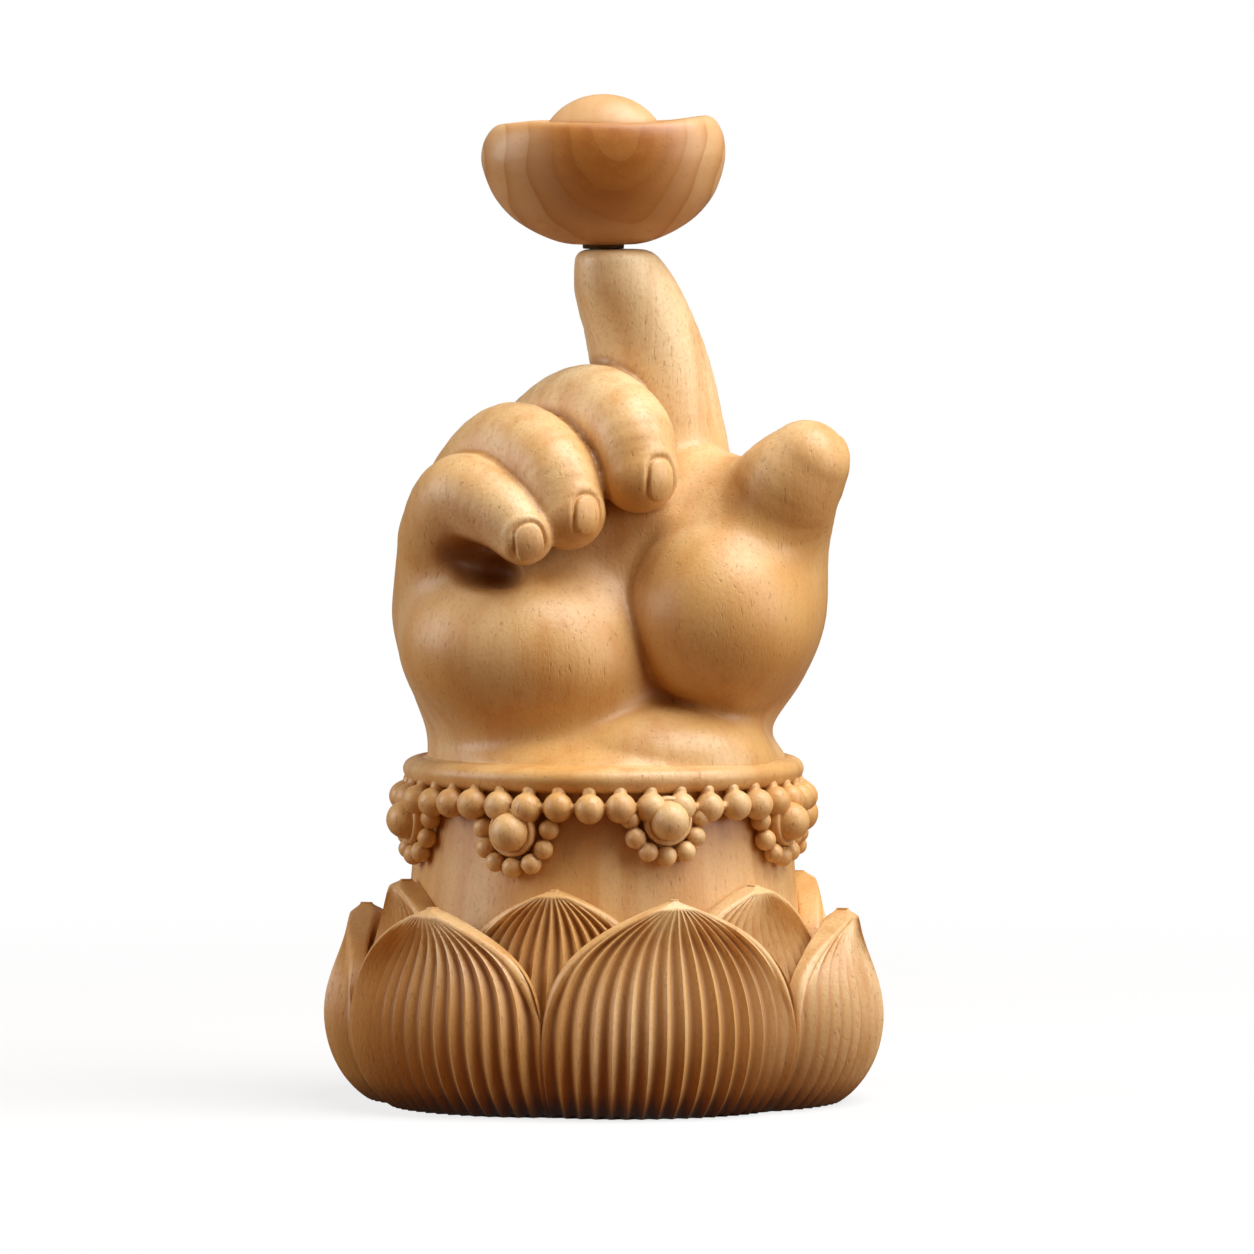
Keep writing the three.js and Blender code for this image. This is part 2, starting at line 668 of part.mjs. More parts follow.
function makeBoat() {
  const bellyHeight = INGOT_HEIGHT * 0.74;
  const wallX = 1 - INGOT_WALL / INGOT_HALF_LENGTH;
  const wallY = 1 - INGOT_WALL / INGOT_HALF_WIDTH;
  const rounds = [];
  for (const angle of [12, 26, 40, 54, 68, 82]) {
    const share = Math.sin(degrees(angle)) ** 0.9;
    rounds.push(boatRound({ x: share, y: share }, bellyHeight * (1 - Math.cos(degrees(angle))), 0));
  }
  const rim = INGOT_HEIGHT - INGOT_DIP;
  rounds.push(
    boatRound({ x: 1, y: 1 }, bellyHeight * 1.06, INGOT_DIP * 0.3),
    boatRound({ x: 0.95, y: 0.98 }, rim - INGOT_WALL * 0.5, INGOT_DIP),
    boatRound({ x: (1 + wallX) / 2 - 0.06, y: (1 + wallY) / 2 }, rim, INGOT_DIP),
    boatRound({ x: wallX - 0.06, y: wallY }, rim - INGOT_WALL * 0.5, INGOT_DIP),
    boatRound({ x: wallX * 0.86, y: wallY * 0.86 }, ingotFloor, 0),
  );
  const cupRadius = pinRadius + PIVOT_GAP + CUP_WALL;
  const cupBore = cylinder(cupRadius + JOINT_GAP, -INGOT_LIFT, cupTop + JOINT_GAP, SMALL_SIDES);
  return loft(rounds).subtract(cupBore);
}

function makeCrown() {
  const rounds = [];
  const across = { x: 0.52, y: 0.56 };
  for (const angle of [0, 22, 44, 66, 82]) {
    const shrink = Math.cos(degrees(angle));
    const height = ingotFloor + JOINT_GAP + CROWN_HEIGHT * Math.sin(degrees(angle));
    rounds.push(boatRound({ x: across.x * shrink, y: across.y * shrink }, height, 0));
  }
  return loft(rounds);
}

const cupTop = PIN_REACH - INGOT_LIFT + JOINT_GAP + CUP_WALL;

function makePin() {
  const top = PIN_REACH;
  const profile = [
    [0, -PIN_SEAT + JOINT_GAP],
    [pinRadius, -PIN_SEAT + JOINT_GAP],
    [pinRadius, top - pinRadius * 0.6],
    [pinRadius * 0.7, top - pinRadius * 0.15],
    [0, top],
  ];
  return turned(profile, SMALL_SIDES);
}

function makeCup() {
  const bore = pinRadius + PIVOT_GAP;
  const outside = bore + CUP_WALL;
  const end = PIN_REACH - INGOT_LIFT + JOINT_GAP;
  return turned(
    [
      [0, end],
      [bore, end],
      [bore, 0],
      [outside, 0],
      [outside, cupTop],
      [0, cupTop],
    ],
    SMALL_SIDES,
  );
}

// Assembly

const sculpture = new THREE.Group();

function addRing(name, count, turn, solid, material) {
  for (let i = 0; i < count; i++) {
    const mesh = meshOf(`${name}_${i + 1}`, solid, material);
    mesh.rotation.z = degrees(turn) + (i * 2 * Math.PI) / count;
    sculpture.add(mesh);
  }
}

function addSeat() {
  sculpture.add(meshOf("lotus_core", makeCore(), boxwood));
  addRing("outer_petal", PETAL_COUNT, LOTUS_TURN, makeOuterPetal(), boxwood);
  addRing("inner_petal", PETAL_COUNT, LOTUS_TURN + 180 / PETAL_COUNT, makeInnerPetal(), boxwood);
  sculpture.add(meshOf("wrist_drum", makeDrum(), boxwood));
  sculpture.add(meshOf("wrist_rim", makeRim(), boxwood));
  sculpture.add(meshOf("centre_dowel", makeDowel(), dowelWood));
}

function addGarland() {
  const garland = makeBeadString();
  const mesh = meshOf("bead_string", garland, boxwood);
  mesh.rotation.z = degrees(PENDANT_TURN);
  sculpture.add(mesh);
  addRing("rosette", PENDANT_COUNT, PENDANT_TURN, makeRosette(garland), boxwood);
  addRing("bead_drop", PENDANT_COUNT, PENDANT_TURN, makeDrop(), boxwood);
}

function addHand() {
  sculpture.add(meshOf("palm", makePalm(), boxwood));
  for (const [name, solid] of Object.entries(makeFingers())) sculpture.add(meshOf(name, solid, boxwood));
}

function addIngot() {
  const pin = meshOf("pivot_pin", makePin(), steel);
  pin.position.copy(pivot);
  const ingot = new THREE.Group();
  ingot.position.copy(pivot);
  ingot.position.z += INGOT_LIFT;
  ingot.add(meshOf("ingot_boat", makeBoat(), ingotWood));
  ingot.add(meshOf("ingot_crown", makeCrown(), ingotWood));
  ingot.add(meshOf("pivot_cup", makeCup(), brass));
  sculpture.add(pin, ingot);
}

addSeat();
addGarland();
addHand();
addIngot();

export default sculpture;
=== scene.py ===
import json
import math

import bpy
import numpy as np
from bpy.props import FloatProperty, FloatVectorProperty, IntProperty, PointerProperty
from bpy.types import Operator, Panel, PropertyGroup
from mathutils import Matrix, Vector

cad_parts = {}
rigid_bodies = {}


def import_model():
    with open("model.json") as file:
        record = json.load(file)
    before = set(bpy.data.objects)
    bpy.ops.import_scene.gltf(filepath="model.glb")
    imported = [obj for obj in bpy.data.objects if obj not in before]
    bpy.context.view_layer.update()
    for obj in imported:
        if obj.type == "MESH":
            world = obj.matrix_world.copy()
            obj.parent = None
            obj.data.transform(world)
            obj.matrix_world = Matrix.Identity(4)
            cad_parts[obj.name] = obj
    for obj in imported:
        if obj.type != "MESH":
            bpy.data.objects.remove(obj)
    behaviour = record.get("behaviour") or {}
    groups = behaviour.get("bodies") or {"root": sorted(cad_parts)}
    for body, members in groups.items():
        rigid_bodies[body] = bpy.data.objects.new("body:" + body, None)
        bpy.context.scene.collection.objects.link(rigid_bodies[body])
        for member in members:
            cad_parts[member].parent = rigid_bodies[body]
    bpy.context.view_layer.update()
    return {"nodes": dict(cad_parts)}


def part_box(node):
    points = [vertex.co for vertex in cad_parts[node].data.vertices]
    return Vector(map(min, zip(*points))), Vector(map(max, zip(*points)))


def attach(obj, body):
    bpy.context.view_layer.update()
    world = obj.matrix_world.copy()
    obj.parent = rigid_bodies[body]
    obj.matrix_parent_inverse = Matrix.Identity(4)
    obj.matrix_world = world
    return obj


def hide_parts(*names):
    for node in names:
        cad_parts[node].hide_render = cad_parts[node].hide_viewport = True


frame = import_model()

bl_info = {
    "name": "Carved Hand Ornament",
    "version": (1, 0, 0),
    "blender": (4, 5, 0),
    "location": "3D View > Sidebar > Ornament",
    "description": "Models a carved wooden hand on a lotus seat, with an ingot on its fingertip",
    "category": "Object",
}

MM = 0.001


def box_of(node):
    """The lowest and highest corner of a solid, in millimetres."""
    return np.array(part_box(node)) / MM


# Sizes in millimetres and turns in degrees

(_, _, DRUM_FOOT), (DRUM_FOOT_RADIUS, _, DRUM_TOP) = box_of("wrist_drum")
DRUM_FLARE = 2.2
(_, _, RIM_LOW), (_, _, RIM_TOP) = box_of("wrist_rim")
OUTER_TIP = box_of("outer_petal_1")[1][2]
(_, _, INNER_FOOT), (_, _, INNER_TIP) = box_of("inner_petal_1")
HAND_SEAT = box_of("palm")[0][2]
FINGERTIP = box_of("index_finger")[1][2]
(_, _, BOAT_FOOT), (BOAT_LENGTH, BOAT_BACK, BOAT_TOP) = box_of("ingot_boat")
BOAT_MIDDLE = box_of("ingot_boat").mean(0)[1]
BOAT_WIDTH = BOAT_BACK - BOAT_MIDDLE
(_, _, CROWN_FOOT), (CROWN_LENGTH, CROWN_BACK, CROWN_TOP) = box_of("ingot_crown")
CROWN_WIDTH = CROWN_BACK - BOAT_MIDDLE

PETALS = 6
OUTER_TURN = 16.6
INNER_TURN = OUTER_TURN + 30
TIP_LIFTS = (1.5, -0.9, 0.3, 0, -1.2, 0.2)
BELLY_RADIUS = 31.1
BELLY_HEIGHT = 9.5
PENDANTS = 8
PENDANT_TURN = 18.5
BEADS_PER_PENDANT = 5
PENDANT_LIFTS = (0.9, 0.1, -0.2, 0.2, -0.1, 0.2, 0.1, -0.4)
STRING_HEIGHT = DRUM_TOP - 1.5
ROSETTE_HEIGHT = STRING_HEIGHT - 2.3
DROP_ARC = 3.95
PALM_HALF_WIDTH = 22.5
PALM_HALF_DEPTH = 16
PALM_HEIGHT = 36
WRIST_RADIUS = 19.1
PIN_BORE = 1.2
CUP_CAP = 1.2
# The cup's flange hangs below the boat so that its dark metal fills the gap over the fingertip as painted
# shade.
CUP_OVERHANG = 0.44
CUP_GLUE_LINE = 0.05
MERGE_GAP = 0.002
SMOOTH_ANGLE = 50


# Settings


def length_property(name, description, default, **limits):
    """A length setting in metres."""
    return FloatProperty(
        name=name, description=description, default=default, precision=5, unit="LENGTH", **limits
    )


def flutes_property(name, description, default):
    """A setting for a number of flutes."""
    return IntProperty(name=name, description=description, default=default, min=6, max=24)


def power_property(name, description, default):
    """A setting for the power of a lamp in watts."""
    return FloatProperty(name=name, description=description, default=default, unit="POWER")


def colour_property(name, description, default):
    """A colour setting."""
    return FloatVectorProperty(
        name=name, description=description, default=default, size=3, min=0, max=1, subtype="COLOR"
    )


class SeatSizes(PropertyGroup):
    """Sizes of the carving on the lotus seat."""

    outer_flutes: flutes_property("Outer flutes", "Flutes across an outer petal", 16)
    inner_flutes: flutes_property("Inner flutes", "Flutes across an inner petal", 14)
    flute_depth: length_property("Flute depth", "How deep the flutes are cut", 0.0008, min=0, max=0.001)
    lip: length_property(
        "Lip", "Smooth border along the upper edge of a petal", 0.0016, min=0.0005, max=0.003
    )


class GarlandSizes(PropertyGroup):
    """Sizes of the beads round the wrist."""

    bead: length_property("Bead", "Diameter of a bead in the row", 0.0034)
    drop_bead: length_property("Drop bead", "Diameter of a bead in a drop", 0.00225)
    wander: length_property("Wander", "How far a hand-carved bead strays from its place", 0.00012)


class HandSizes(PropertyGroup):
    """Sizes of the carved hand."""

    cell: length_property("Cell", "Size of the mesh cells of the hand", 0.00042)
    crease: length_property("Crease", "Width over which two fingers run into each other", 0.0006)
    nail_groove: length_property("Nail groove", "Depth of the line round a nail", 0.00024)


class Finishes(PropertyGroup):
    """Colours of the woods and metals."""

    boxwood: colour_property("Boxwood", "Main colour of the boxwood", (0.70, 0.395, 0.122))
    boxwood_pale: colour_property("Pale boxwood", "Colour of its pale grain", (0.85, 0.64, 0.35))
    boxwood_warm: colour_property("Warm boxwood", "Colour of its warm grain", (0.58, 0.25, 0.05))
    # The recess colour darkens cuts, creases and shaded places as patina and painted shade; it also
    # darkens pores, late rings and flecks.
    recess: colour_property("Recess", "Colour of the wood in cuts and creases", (0.12, 0.032, 0.005))
    ingot: colour_property("Ingot wood", "Main colour of the ingot", (0.38, 0.125, 0.013))
    ingot_pale: colour_property("Pale ingot wood", "Colour of the ingot's pale rings", (0.72, 0.46, 0.22))
    dowel: colour_property("Dowel wood", "Colour of the beech dowel", (0.62, 0.42, 0.25))
    # The steel and brass are kept very dark so that the pin and cup in the gap under the ingot stand in
    # for its shade: painted shade.
    steel: colour_property("Steel", "Colour of the pivot pin", (0.06, 0.06, 0.062))
    brass: colour_property("Brass", "Colour of the cup in the ingot", (0.085, 0.06, 0.03))
    polish: FloatProperty(
        name="Polish", description="Roughness of the wood", default=0.45, min=0.1, max=1, subtype="FACTOR"
    )


class StageLights(PropertyGroup):
    """Strength of the studio light."""

    top: power_property("Top", "Power of the main light, overhead", 4.8)
    right: power_property("Right", "Power of the light on the right", 1.9)
    left: power_property("Left", "Power of the light on the left", 2.4)
    sky: FloatProperty(name="Sky", description="Strength of the light from all round", default=0.13, min=0)
    floor: colour_property("Floor", "Colour of the floor", (0.8, 0.8, 0.8))


class Ornament(PropertyGroup):
    """All the settings of the ornament."""

    seat: PointerProperty(type=SeatSizes)
    garland: PointerProperty(type=GarlandSizes)
    hand: PointerProperty(type=HandSizes)
    finishes: PointerProperty(type=Finishes)
    lights: PointerProperty(type=StageLights)


# Mesh helpers


def choose(*pieces):
    """Selects these pieces and nothing else, the last one active."""
    bpy.ops.object.select_all(action="DESELECT")
    for piece in pieces:
        piece.select_set(True)
    bpy.context.view_layer.objects.active = pieces[-1] if pieces else None


def named(name):
    """The piece just made, under its own name."""
    piece = bpy.context.object
    piece.name = name
    piece.data.name = name
    return piece


def rows_of(cells, key, width, kind=float):
    """A value of every vertex, edge or face, one row each."""
    rows = np.empty(len(cells) * width, dtype=kind)
    cells.foreach_get(key, rows)
    return rows.reshape(-1, width)


def points_of(piece):
    """The piece's vertices in millimetres."""
    return rows_of(piece.data.vertices, "co", 3) / MM


def put_points(piece, rows):
    """Moves the piece's vertices to these places in millimetres."""
    piece.data.vertices.foreach_set("co", (rows * MM).ravel())
    piece.data.update()


def normals_of(piece):
    """The piece's vertex normals."""
    return rows_of(piece.data.vertex_normals, "vector", 3)


def add_ball(place, radius, segments=20, rings=12, scale=(1, 1, 1), turn=(0, 0, 0)):
    """A ball at a place in millimetres, stretched and turned if need be."""
    bpy.ops.mesh.primitive_uv_sphere_add(
        segments=segments,
        ring_count=rings,
        radius=radius * MM,
        location=np.array(place) * MM,
        rotation=turn,
        scale=scale,
    )
    return bpy.context.object


def joined(name, pieces):
    """These pieces as one, with their places in the mesh."""
    choose(*pieces)
    bpy.ops.object.join()
    bpy.ops.object.transform_apply(location=True, rotation=True, scale=True)
    return named(name)


def apply_modifier(piece, kind, **settings):
    """Adds a modifier with these settings and applies it."""
    choose(piece)
    bpy.ops.object.modifier_add(type=kind)
    modifier = piece.modifiers[-1]
    for key, value in settings.items():
        setattr(modifier, key, value)
    bpy.ops.object.modifier_apply(modifier=modifier.name)


def smooth(piece, rounds, **settings):
    """Evens out a skin."""
    apply_modifier(piece, "SMOOTH", factor=0.5, iterations=rounds, **settings)


def remesh(piece, cell):
    """Makes overlapping balls one skin of even cells, given in millimetres."""
    choose(piece)
    piece.data.remesh_voxel_size = cell * MM
    piece.data.remesh_voxel_adaptivity = 0
    bpy.ops.object.voxel_remesh()


def mode(name):
    """Switches between edit and object mode."""
    bpy.ops.object.mode_set(mode=name)


def edit_chosen(piece, kind, chosen):
    """Opens a piece in edit mode with only the chosen vertices or faces selected."""
    choose(piece)
    mode("EDIT")
    bpy.ops.mesh.select_mode(type=kind)
    bpy.ops.mesh.select_all(action="DESELECT")
    mode("OBJECT")
    cells = piece.data.vertices if kind == "VERT" else piece.data.polygons
    cells.foreach_set("select", chosen)
    mode("EDIT")


def drop_bubbles(piece):
    """Deletes the small shells that a remesh leaves apart from the skin with the highest vertex."""
    heights = points_of(piece)[:, 2]
    edit_chosen(piece, "VERT", np.arange(len(heights)) == np.argmax(heights))
    bpy.ops.mesh.select_linked()
    bpy.ops.mesh.select_all(action="INVERT")
    bpy.ops.mesh.delete(type="VERT")
    mode("OBJECT")


def face_outwards(piece):
    """Merges doubles and turns all faces outwards."""
    choose(piece)
    mode("EDIT")
    bpy.ops.mesh.select_all(action="SELECT")
    bpy.ops.mesh.remove_doubles(threshold=MERGE_GAP * MM)
    bpy.ops.mesh.normals_make_consistent(inside=False)
    mode("OBJECT")


def spun(name, profile, steps):
    """Spins a profile of radius and height, in millimetres, about the upright axis."""
    choose()
    profile = np.array(profile, dtype=float)
    bpy.ops.mesh.primitive_plane_add(size=MM, location=(0, 0, 0))
    piece = named(name)
    mode("EDIT")
    bpy.ops.mesh.select_mode(type="VERT")
    bpy.ops.mesh.select_all(action="SELECT")
    bpy.ops.mesh.merge(type="CENTER")
    bpy.ops.transform.translate(value=(profile[0][0] * MM, 0, profile[0][1] * MM))
    for radius, height in np.diff(profile, axis=0) * MM:
        bpy.ops.mesh.extrude_region_move(TRANSFORM_OT_translate={"value": (radius, 0, height)})
    bpy.ops.mesh.select_all(action="SELECT")
    bpy.ops.mesh.spin(steps=steps, angle=2 * math.pi, center=(0, 0, 0), axis=(0, 0, 1))
    mode("OBJECT")
    face_outwards(piece)
    return piece


def wrapped(name, table, recess=None):
    """A ball whose circles of latitude are laid on the rows of a table of points, the lowest row first."""
    rows, columns = table.shape[:2]
    choose()
    bpy.ops.mesh.primitive_uv_sphere_add(
        segments=columns, ring_count=rows + 1, radius=1, location=(0, 0, 0)
    )
    piece = named(name)
    x, y, z = (points_of(piece) * MM).T
    circle = np.rint(np.arccos(np.clip(-z, -1, 1)) / math.pi * (rows + 1)).astype(int)
    column = np.rint(np.arctan2(y, x) / (2 * math.pi) * columns).astype(int) % columns
    row = np.clip(circle - 1, 0, rows - 1)
    places = table[row, column]
    places[circle == 0] = table[0].mean(0)
    places[circle == rows + 1] = table[-1].mean(0)
    put_points(piece, places)
    if recess is not None:
        store_recess(piece, recess[row, column])
    face_outwards(piece)
    return piece


def store_recess(piece, values):
    """Keeps how deep in a cut or in shade each vertex lies, from 0 to 1, for the finish to paint darker as
    patina and painted shade.
    """
    layers = piece.data.attributes
    layer = layers.get("recess") or layers.new("recess", "FLOAT", "POINT")
    layer.data.foreach_set("value", np.clip(values, 0, 1).astype(np.float32))


def recess_of(piece):
    """What store_recess kept."""
    return rows_of(piece.data.attributes["recess"].data, "value", 1)[:, 0]


def hollows_of(piece, spread, gain):
    """How hollow a skin is at each vertex, from how its neighbours rise round it."""
    places = points_of(piece)
    edges = rows_of(piece.data.edges, "vertices", 2, np.int64)
    ends, others = np.concatenate([edges, edges[:, ::-1]]).T
    count = np.maximum(np.bincount(ends, minlength=len(places)), 1)

    def round_about(values):
        return np.bincount(ends, weights=values[others], minlength=len(places)) / count

    rise = np.stack([round_about(axis) for axis in places.T], axis=1) - places
    length = np.linalg.norm(places[edges[:, 0]] - places[edges[:, 1]], axis=1).mean()
    hollow = (rise * normals_of(piece)).sum(1) / length
    for _ in range(spread):
        hollow = (hollow + round_about(hollow)) / 2
    return np.clip(hollow * gain, 0, 1)


def mark_recess(piece, spread, gain):
    """Keeps the hollow places of a skin for the finish to paint darker, as patina and painted shade."""
    store_recess(piece, hollows_of(piece, spread, gain))


def relax(piece, shares, rounds):
    """Smooths a skin where the shares of its vertices are high."""
    least_share = 0.02
    choose(piece)
    bpy.ops.object.vertex_group_add()
    group = piece.vertex_groups.active
    for number in np.flatnonzero(shares > least_share):
        group.add([int(number)], float(shares[number]), "REPLACE")
    smooth(piece, rounds, vertex_group=group.name)
    piece.vertex_groups.clear()


def round_the_seat(piece, name, count, first_turn):
    """Copies a piece round the upright axis, each copy with its own mesh, and returns them all."""
    pieces = []
    for number in range(count):
        choose(piece)
        bpy.ops.object.duplicate(linked=False)
        copy = named(f"{name}_{number + 1}")
        copy.rotation_euler.z = math.radians(first_turn + number * 360 / count)
        bpy.ops.object.transform_apply(location=False, rotation=True, scale=False)
        pieces.append(copy)
    choose(piece)
    bpy.ops.object.delete()
    return pieces


def lifted(piece, height):
    """Moves a piece up by a height in millimetres."""
    put_points(piece, points_of(piece) + np.array([0, 0, height]))


# The body and the finish of the pieces in each material slot of the record.
SLOTS = {
    "boxwood": ("stand", "carved_boxwood"),
    "ingot_wood": ("ingot", "banded_ingot_wood"),
    "cup_brass": ("ingot", "turned_brass"),
}


def finish_piece(piece, slot, *nodes):
    """Smooths a piece, gives it its finish and fixes it to its body in place of the solids named."""
    body, finish = SLOTS[slot]
    choose(piece)
    bpy.ops.object.shade_smooth_by_angle(angle=math.radians(SMOOTH_ANGLE))
    piece.data.materials.clear()
    piece.data.materials.append(bpy.data.materials[finish])
    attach(piece, body)
    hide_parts(*nodes)


# Curves and fields, in millimetres


def smoothstep(low, high, value):
    """0 below low, 1 above high, and a smooth step between."""
    share = np.clip((value - low) / (high - low), 0, 1)
    return share * share * (3 - 2 * share)


def bezier(start, leave, arrive, end, count=40):
    """Points on a cubic curve."""
    t = np.linspace(0, 1, count)[:, None]
    start, leave, arrive, end = (np.array(p, dtype=float) for p in (start, leave, arrive, end))
    return (1 - t) ** 3 * start + 3 * (1 - t) ** 2 * t * leave + 3 * (1 - t) * t**2 * arrive + t**3 * end


def through(stations, steps):
    """Rows on a smooth curve that passes through all the stations."""
    rows = np.array(stations, dtype=float)
    rows = np.vstack([2 * rows[0] - rows[1], rows, 2 * rows[-1] - rows[-2]])
    made = []
    for before, start, end, after in zip(rows, rows[1:], rows[2:], rows[3:]):
        for t in np.arange(steps) / steps:
            bend = (2 * before - 5 * start + 4 * end - after) * t**2
            swing = (3 * start - before - 3 * end + after) * t**3
            made.append((2 * start + (end - before) * t + bend + swing) / 2)
    made.append(rows[-2])
    return np.array(made)


def drum_radius(height):
    """The drum's radius at a height."""
    return DRUM_FOOT_RADIUS - DRUM_FLARE * (height - DRUM_FOOT) / (DRUM_TOP - DRUM_FOOT)


def run_together(first, second, width):
    """The union of two distance fields, with a fillet of this width where they meet."""
    near = np.maximum(width - np.abs(first - second), 0) / width
    return np.minimum(first, second) - near * near * width / 4


def egg_field(places, centre, half, lean=0):
    """Distance from a stretched ball that leans to the right by an angle in degrees."""
    x, y, z = (places - np.array(centre)).T
    turn = math.radians(lean)
    across = x * math.cos(turn) - z * math.sin(turn)
    along = x * math.sin(turn) + z * math.cos(turn)
    shares = np.stack([across, y, along], axis=1) / np.array(half)
    reach = np.linalg.norm(shares, axis=1)
    slope = np.linalg.norm(shares / np.array(half), axis=1)
    return reach * (reach - 1) / np.maximum(slope, 1e-6)


def limb_field(places, sections):
    """Distance from a limb of round sections."""
    nearest = np.full(len(places), np.inf)
    for start, end in zip(sections, sections[1:]):
        along = end[:3] - start[:3]
        t = np.clip((places - start[:3]) @ along / (along @ along), 0, 1)
        gap = np.linalg.norm(places - start[:3] - t[:, None] * along, axis=1)
        nearest = np.minimum(nearest, gap - start[3] - t * (end[3] - start[3]))
    return nearest


# Hand


def spot(x, y, z):
    """A place in the hand, as shares of the palm's half width, half depth and height."""
    return np.array([x * PALM_HALF_WIDTH, y * PALM_HALF_DEPTH, HAND_SEAT + z * PALM_HEIGHT])


def limb(*stations):
    """A limb through stations of place and radius."""
    return through([(*spot(x, y, z), radius) for x, y, z, radius in stations], steps=5)


LITTLE_FINGER = limb(
    (-0.76, -0.06, 0.53, 4.7),
    (-0.775, -0.34, 0.74, 4.9),
    (-0.68, -0.58, 0.87, 4.9),
    (-0.50, -0.81, 0.83, 4.0),
    (-0.385, -0.94, 0.765, 3.3),
)
RING_FINGER = limb(
    (-0.64, 0.12, 0.69, 5.6),
    (-0.61, -0.10, 0.89, 5.5),
    (-0.44, -0.34, 1.01, 5.3),
    (-0.25, -0.66, 0.95, 4.7),
    (-0.17, -0.80, 0.83, 4.1),
)
MIDDLE_FINGER = limb(
    (-0.40, 0.44, 0.80, 6.0),
    (-0.27, 0.28, 1.015, 5.8),
    (-0.07, -0.04, 1.115, 5.5),
    (0.115, -0.50, 1.065, 4.9),
    (0.175, -0.66, 0.945, 4.3),
)
INDEX_FINGER = limb(
    (0.330, 0.400, 0.670, 7.4),
    (0.290, 0.375, 1.001, 7.1),
    (0.237, 0.312, 1.227, 6.6),
    (0.152, 0.200, 1.416, 5.8),
    (0.081, 0.100, 1.520, 5.0),
    (0.054, 0.063, 1.567, 4.4),
)
THUMB = limb(
    (0.62, -0.16, 0.55, 8.0),
    (0.77, -0.14, 0.73, 7.3),
    (0.875, -0.40, 0.88, 6.1),
    (0.985, -0.50, 0.975, 4.7),
)
FINGERS = (INDEX_FINGER, MIDDLE_FINGER, RING_FINGER, LITTLE_FINGER)

# The palm from the wrist up: height, middle across, middle in depth, half width, half depth.
PALM = through(
    (
        (0, 0, 0, WRIST_RADIUS / PALM_HALF_WIDTH, WRIST_RADIUS / PALM_HALF_DEPTH),
        (0.07, 0, 0, WRIST_RADIUS / PALM_HALF_WIDTH, WRIST_RADIUS / PALM_HALF_DEPTH),
        (0.16, -0.04, 0.10, 0.82, 1.00),
        (0.31, -0.02, 0.23, 0.92, 0.83),
        (0.50, 0, 0.22, 0.99, 0.82),
        (0.70, -0.01, 0.23, 0.95, 0.79),
        (0.86, -0.02, 0.27, 0.84, 0.69),
        (0.95, -0.02, 0.32, 0.60, 0.48),
        (1.00, -0.02, 0.34, 0.30, 0.24),
    ),
    steps=6,
)

# Mounds of the palm: middle, half sizes and lean.
HEEL = (spot(-0.365, -0.40, 0.39), (14.2, 11.3, 10.4), 10)
THUMB_BALL = (spot(0.555, -0.29, 0.51), (11.0, 12.6, 11.6), 0)
WRIST_FOLD = (spot(0.22, -0.47, 0.07), (13.5, 10.6, 6.8), 0)
WEB = (spot(0.42, 0.06, 0.835), (6.6, 7.2, 6.2), 0)

# The hollow under the curled little finger.
CURL = (spot(-0.60, -0.74, 0.668), (4.8, 6.0, 2.2), 18)

# Widths of the fillets where the forms of the hand run together.
PALM_TOP_FILLET = 5
WEB_FILLET = 4
HEEL_FILLET = 5
CURL_FILLET = 1
THUMB_FILLET = 4
BALL_CREASE = 0.6
BALL_SOFTENING = 3.9
FOLD_FILLET = 1.2
FOLD_CREASE = 0.9
FOLD_SOFTENING = 2.6
ROOT_FILLETS = (2, 2.6, 2.6, 4)
FINGERTIP_FILLET = 1.2


def palm_field(places):
    """Distance from the plain palm, about right near its surface."""
    heights = HAND_SEAT + PALM[:, 0] * PALM_HEIGHT
    x, y, z = places.T
    middle_x = np.interp(z, heights, PALM[:, 1] * PALM_HALF_WIDTH)
    middle_y = np.interp(z, heights, PALM[:, 2] * PALM_HALF_DEPTH)
    half_x = np.interp(z, heights, PALM[:, 3] * PALM_HALF_WIDTH)
    half_y = np.interp(z, heights, PALM[:, 4] * PALM_HALF_DEPTH)
    reach = np.hypot((x - middle_x) / half_x, (y - middle_y) / half_y)
    side = (reach - 1) * np.minimum(half_x, half_y)
    capped = -run_together(-side, heights[-1] - z, PALM_TOP_FILLET)
    return np.maximum(capped, HAND_SEAT - z)


def hand_field(places, crease):
    """Distance from the carved hand, whose creases soften towards the thumb's side and top."""
    x, _, z = places.T
    palm = palm_field(places)
    palm = run_together(palm, egg_field(places, *WEB), WEB_FILLET)
    heel = run_together(palm, egg_field(places, *HEEL), HEEL_FILLET)
    heel = -run_together(-heel, egg_field(places, *CURL), CURL_FILLET)
    thumb = run_together(egg_field(places, *THUMB_BALL), limb_field(places, THUMB), THUMB_FILLET)
    soft = np.maximum(smoothstep(60, 65, z), smoothstep(12, 18, x))
    body = run_together(heel, thumb, BALL_CREASE + BALL_SOFTENING * soft)
    fold = run_together(palm, egg_field(places, *WRIST_FOLD), FOLD_FILLET)
    body = run_together(body, fold, FOLD_CREASE + FOLD_SOFTENING * smoothstep(7, 16, x))
    for finger, root in zip(FINGERS, ROOT_FILLETS):
        body = run_together(body, limb_field(places, finger[:6]), root)
        body = run_together(body, limb_field(places, finger[5:]), crease)
    body = -run_together(-body, FINGERTIP + 0.1 - z, FINGERTIP_FILLET)
    return np.maximum(body, HAND_SEAT - z)


def settle(piece, field, rounds):
    """Moves a skin along its normals onto the surface where a distance field is nil."""
    pace = 0.8
    for _ in range(rounds):
        places = points_of(piece)
        step = np.clip(field(places), -1, 1)
        put_points(piece, places - pace * step[:, None] * normals_of(piece))


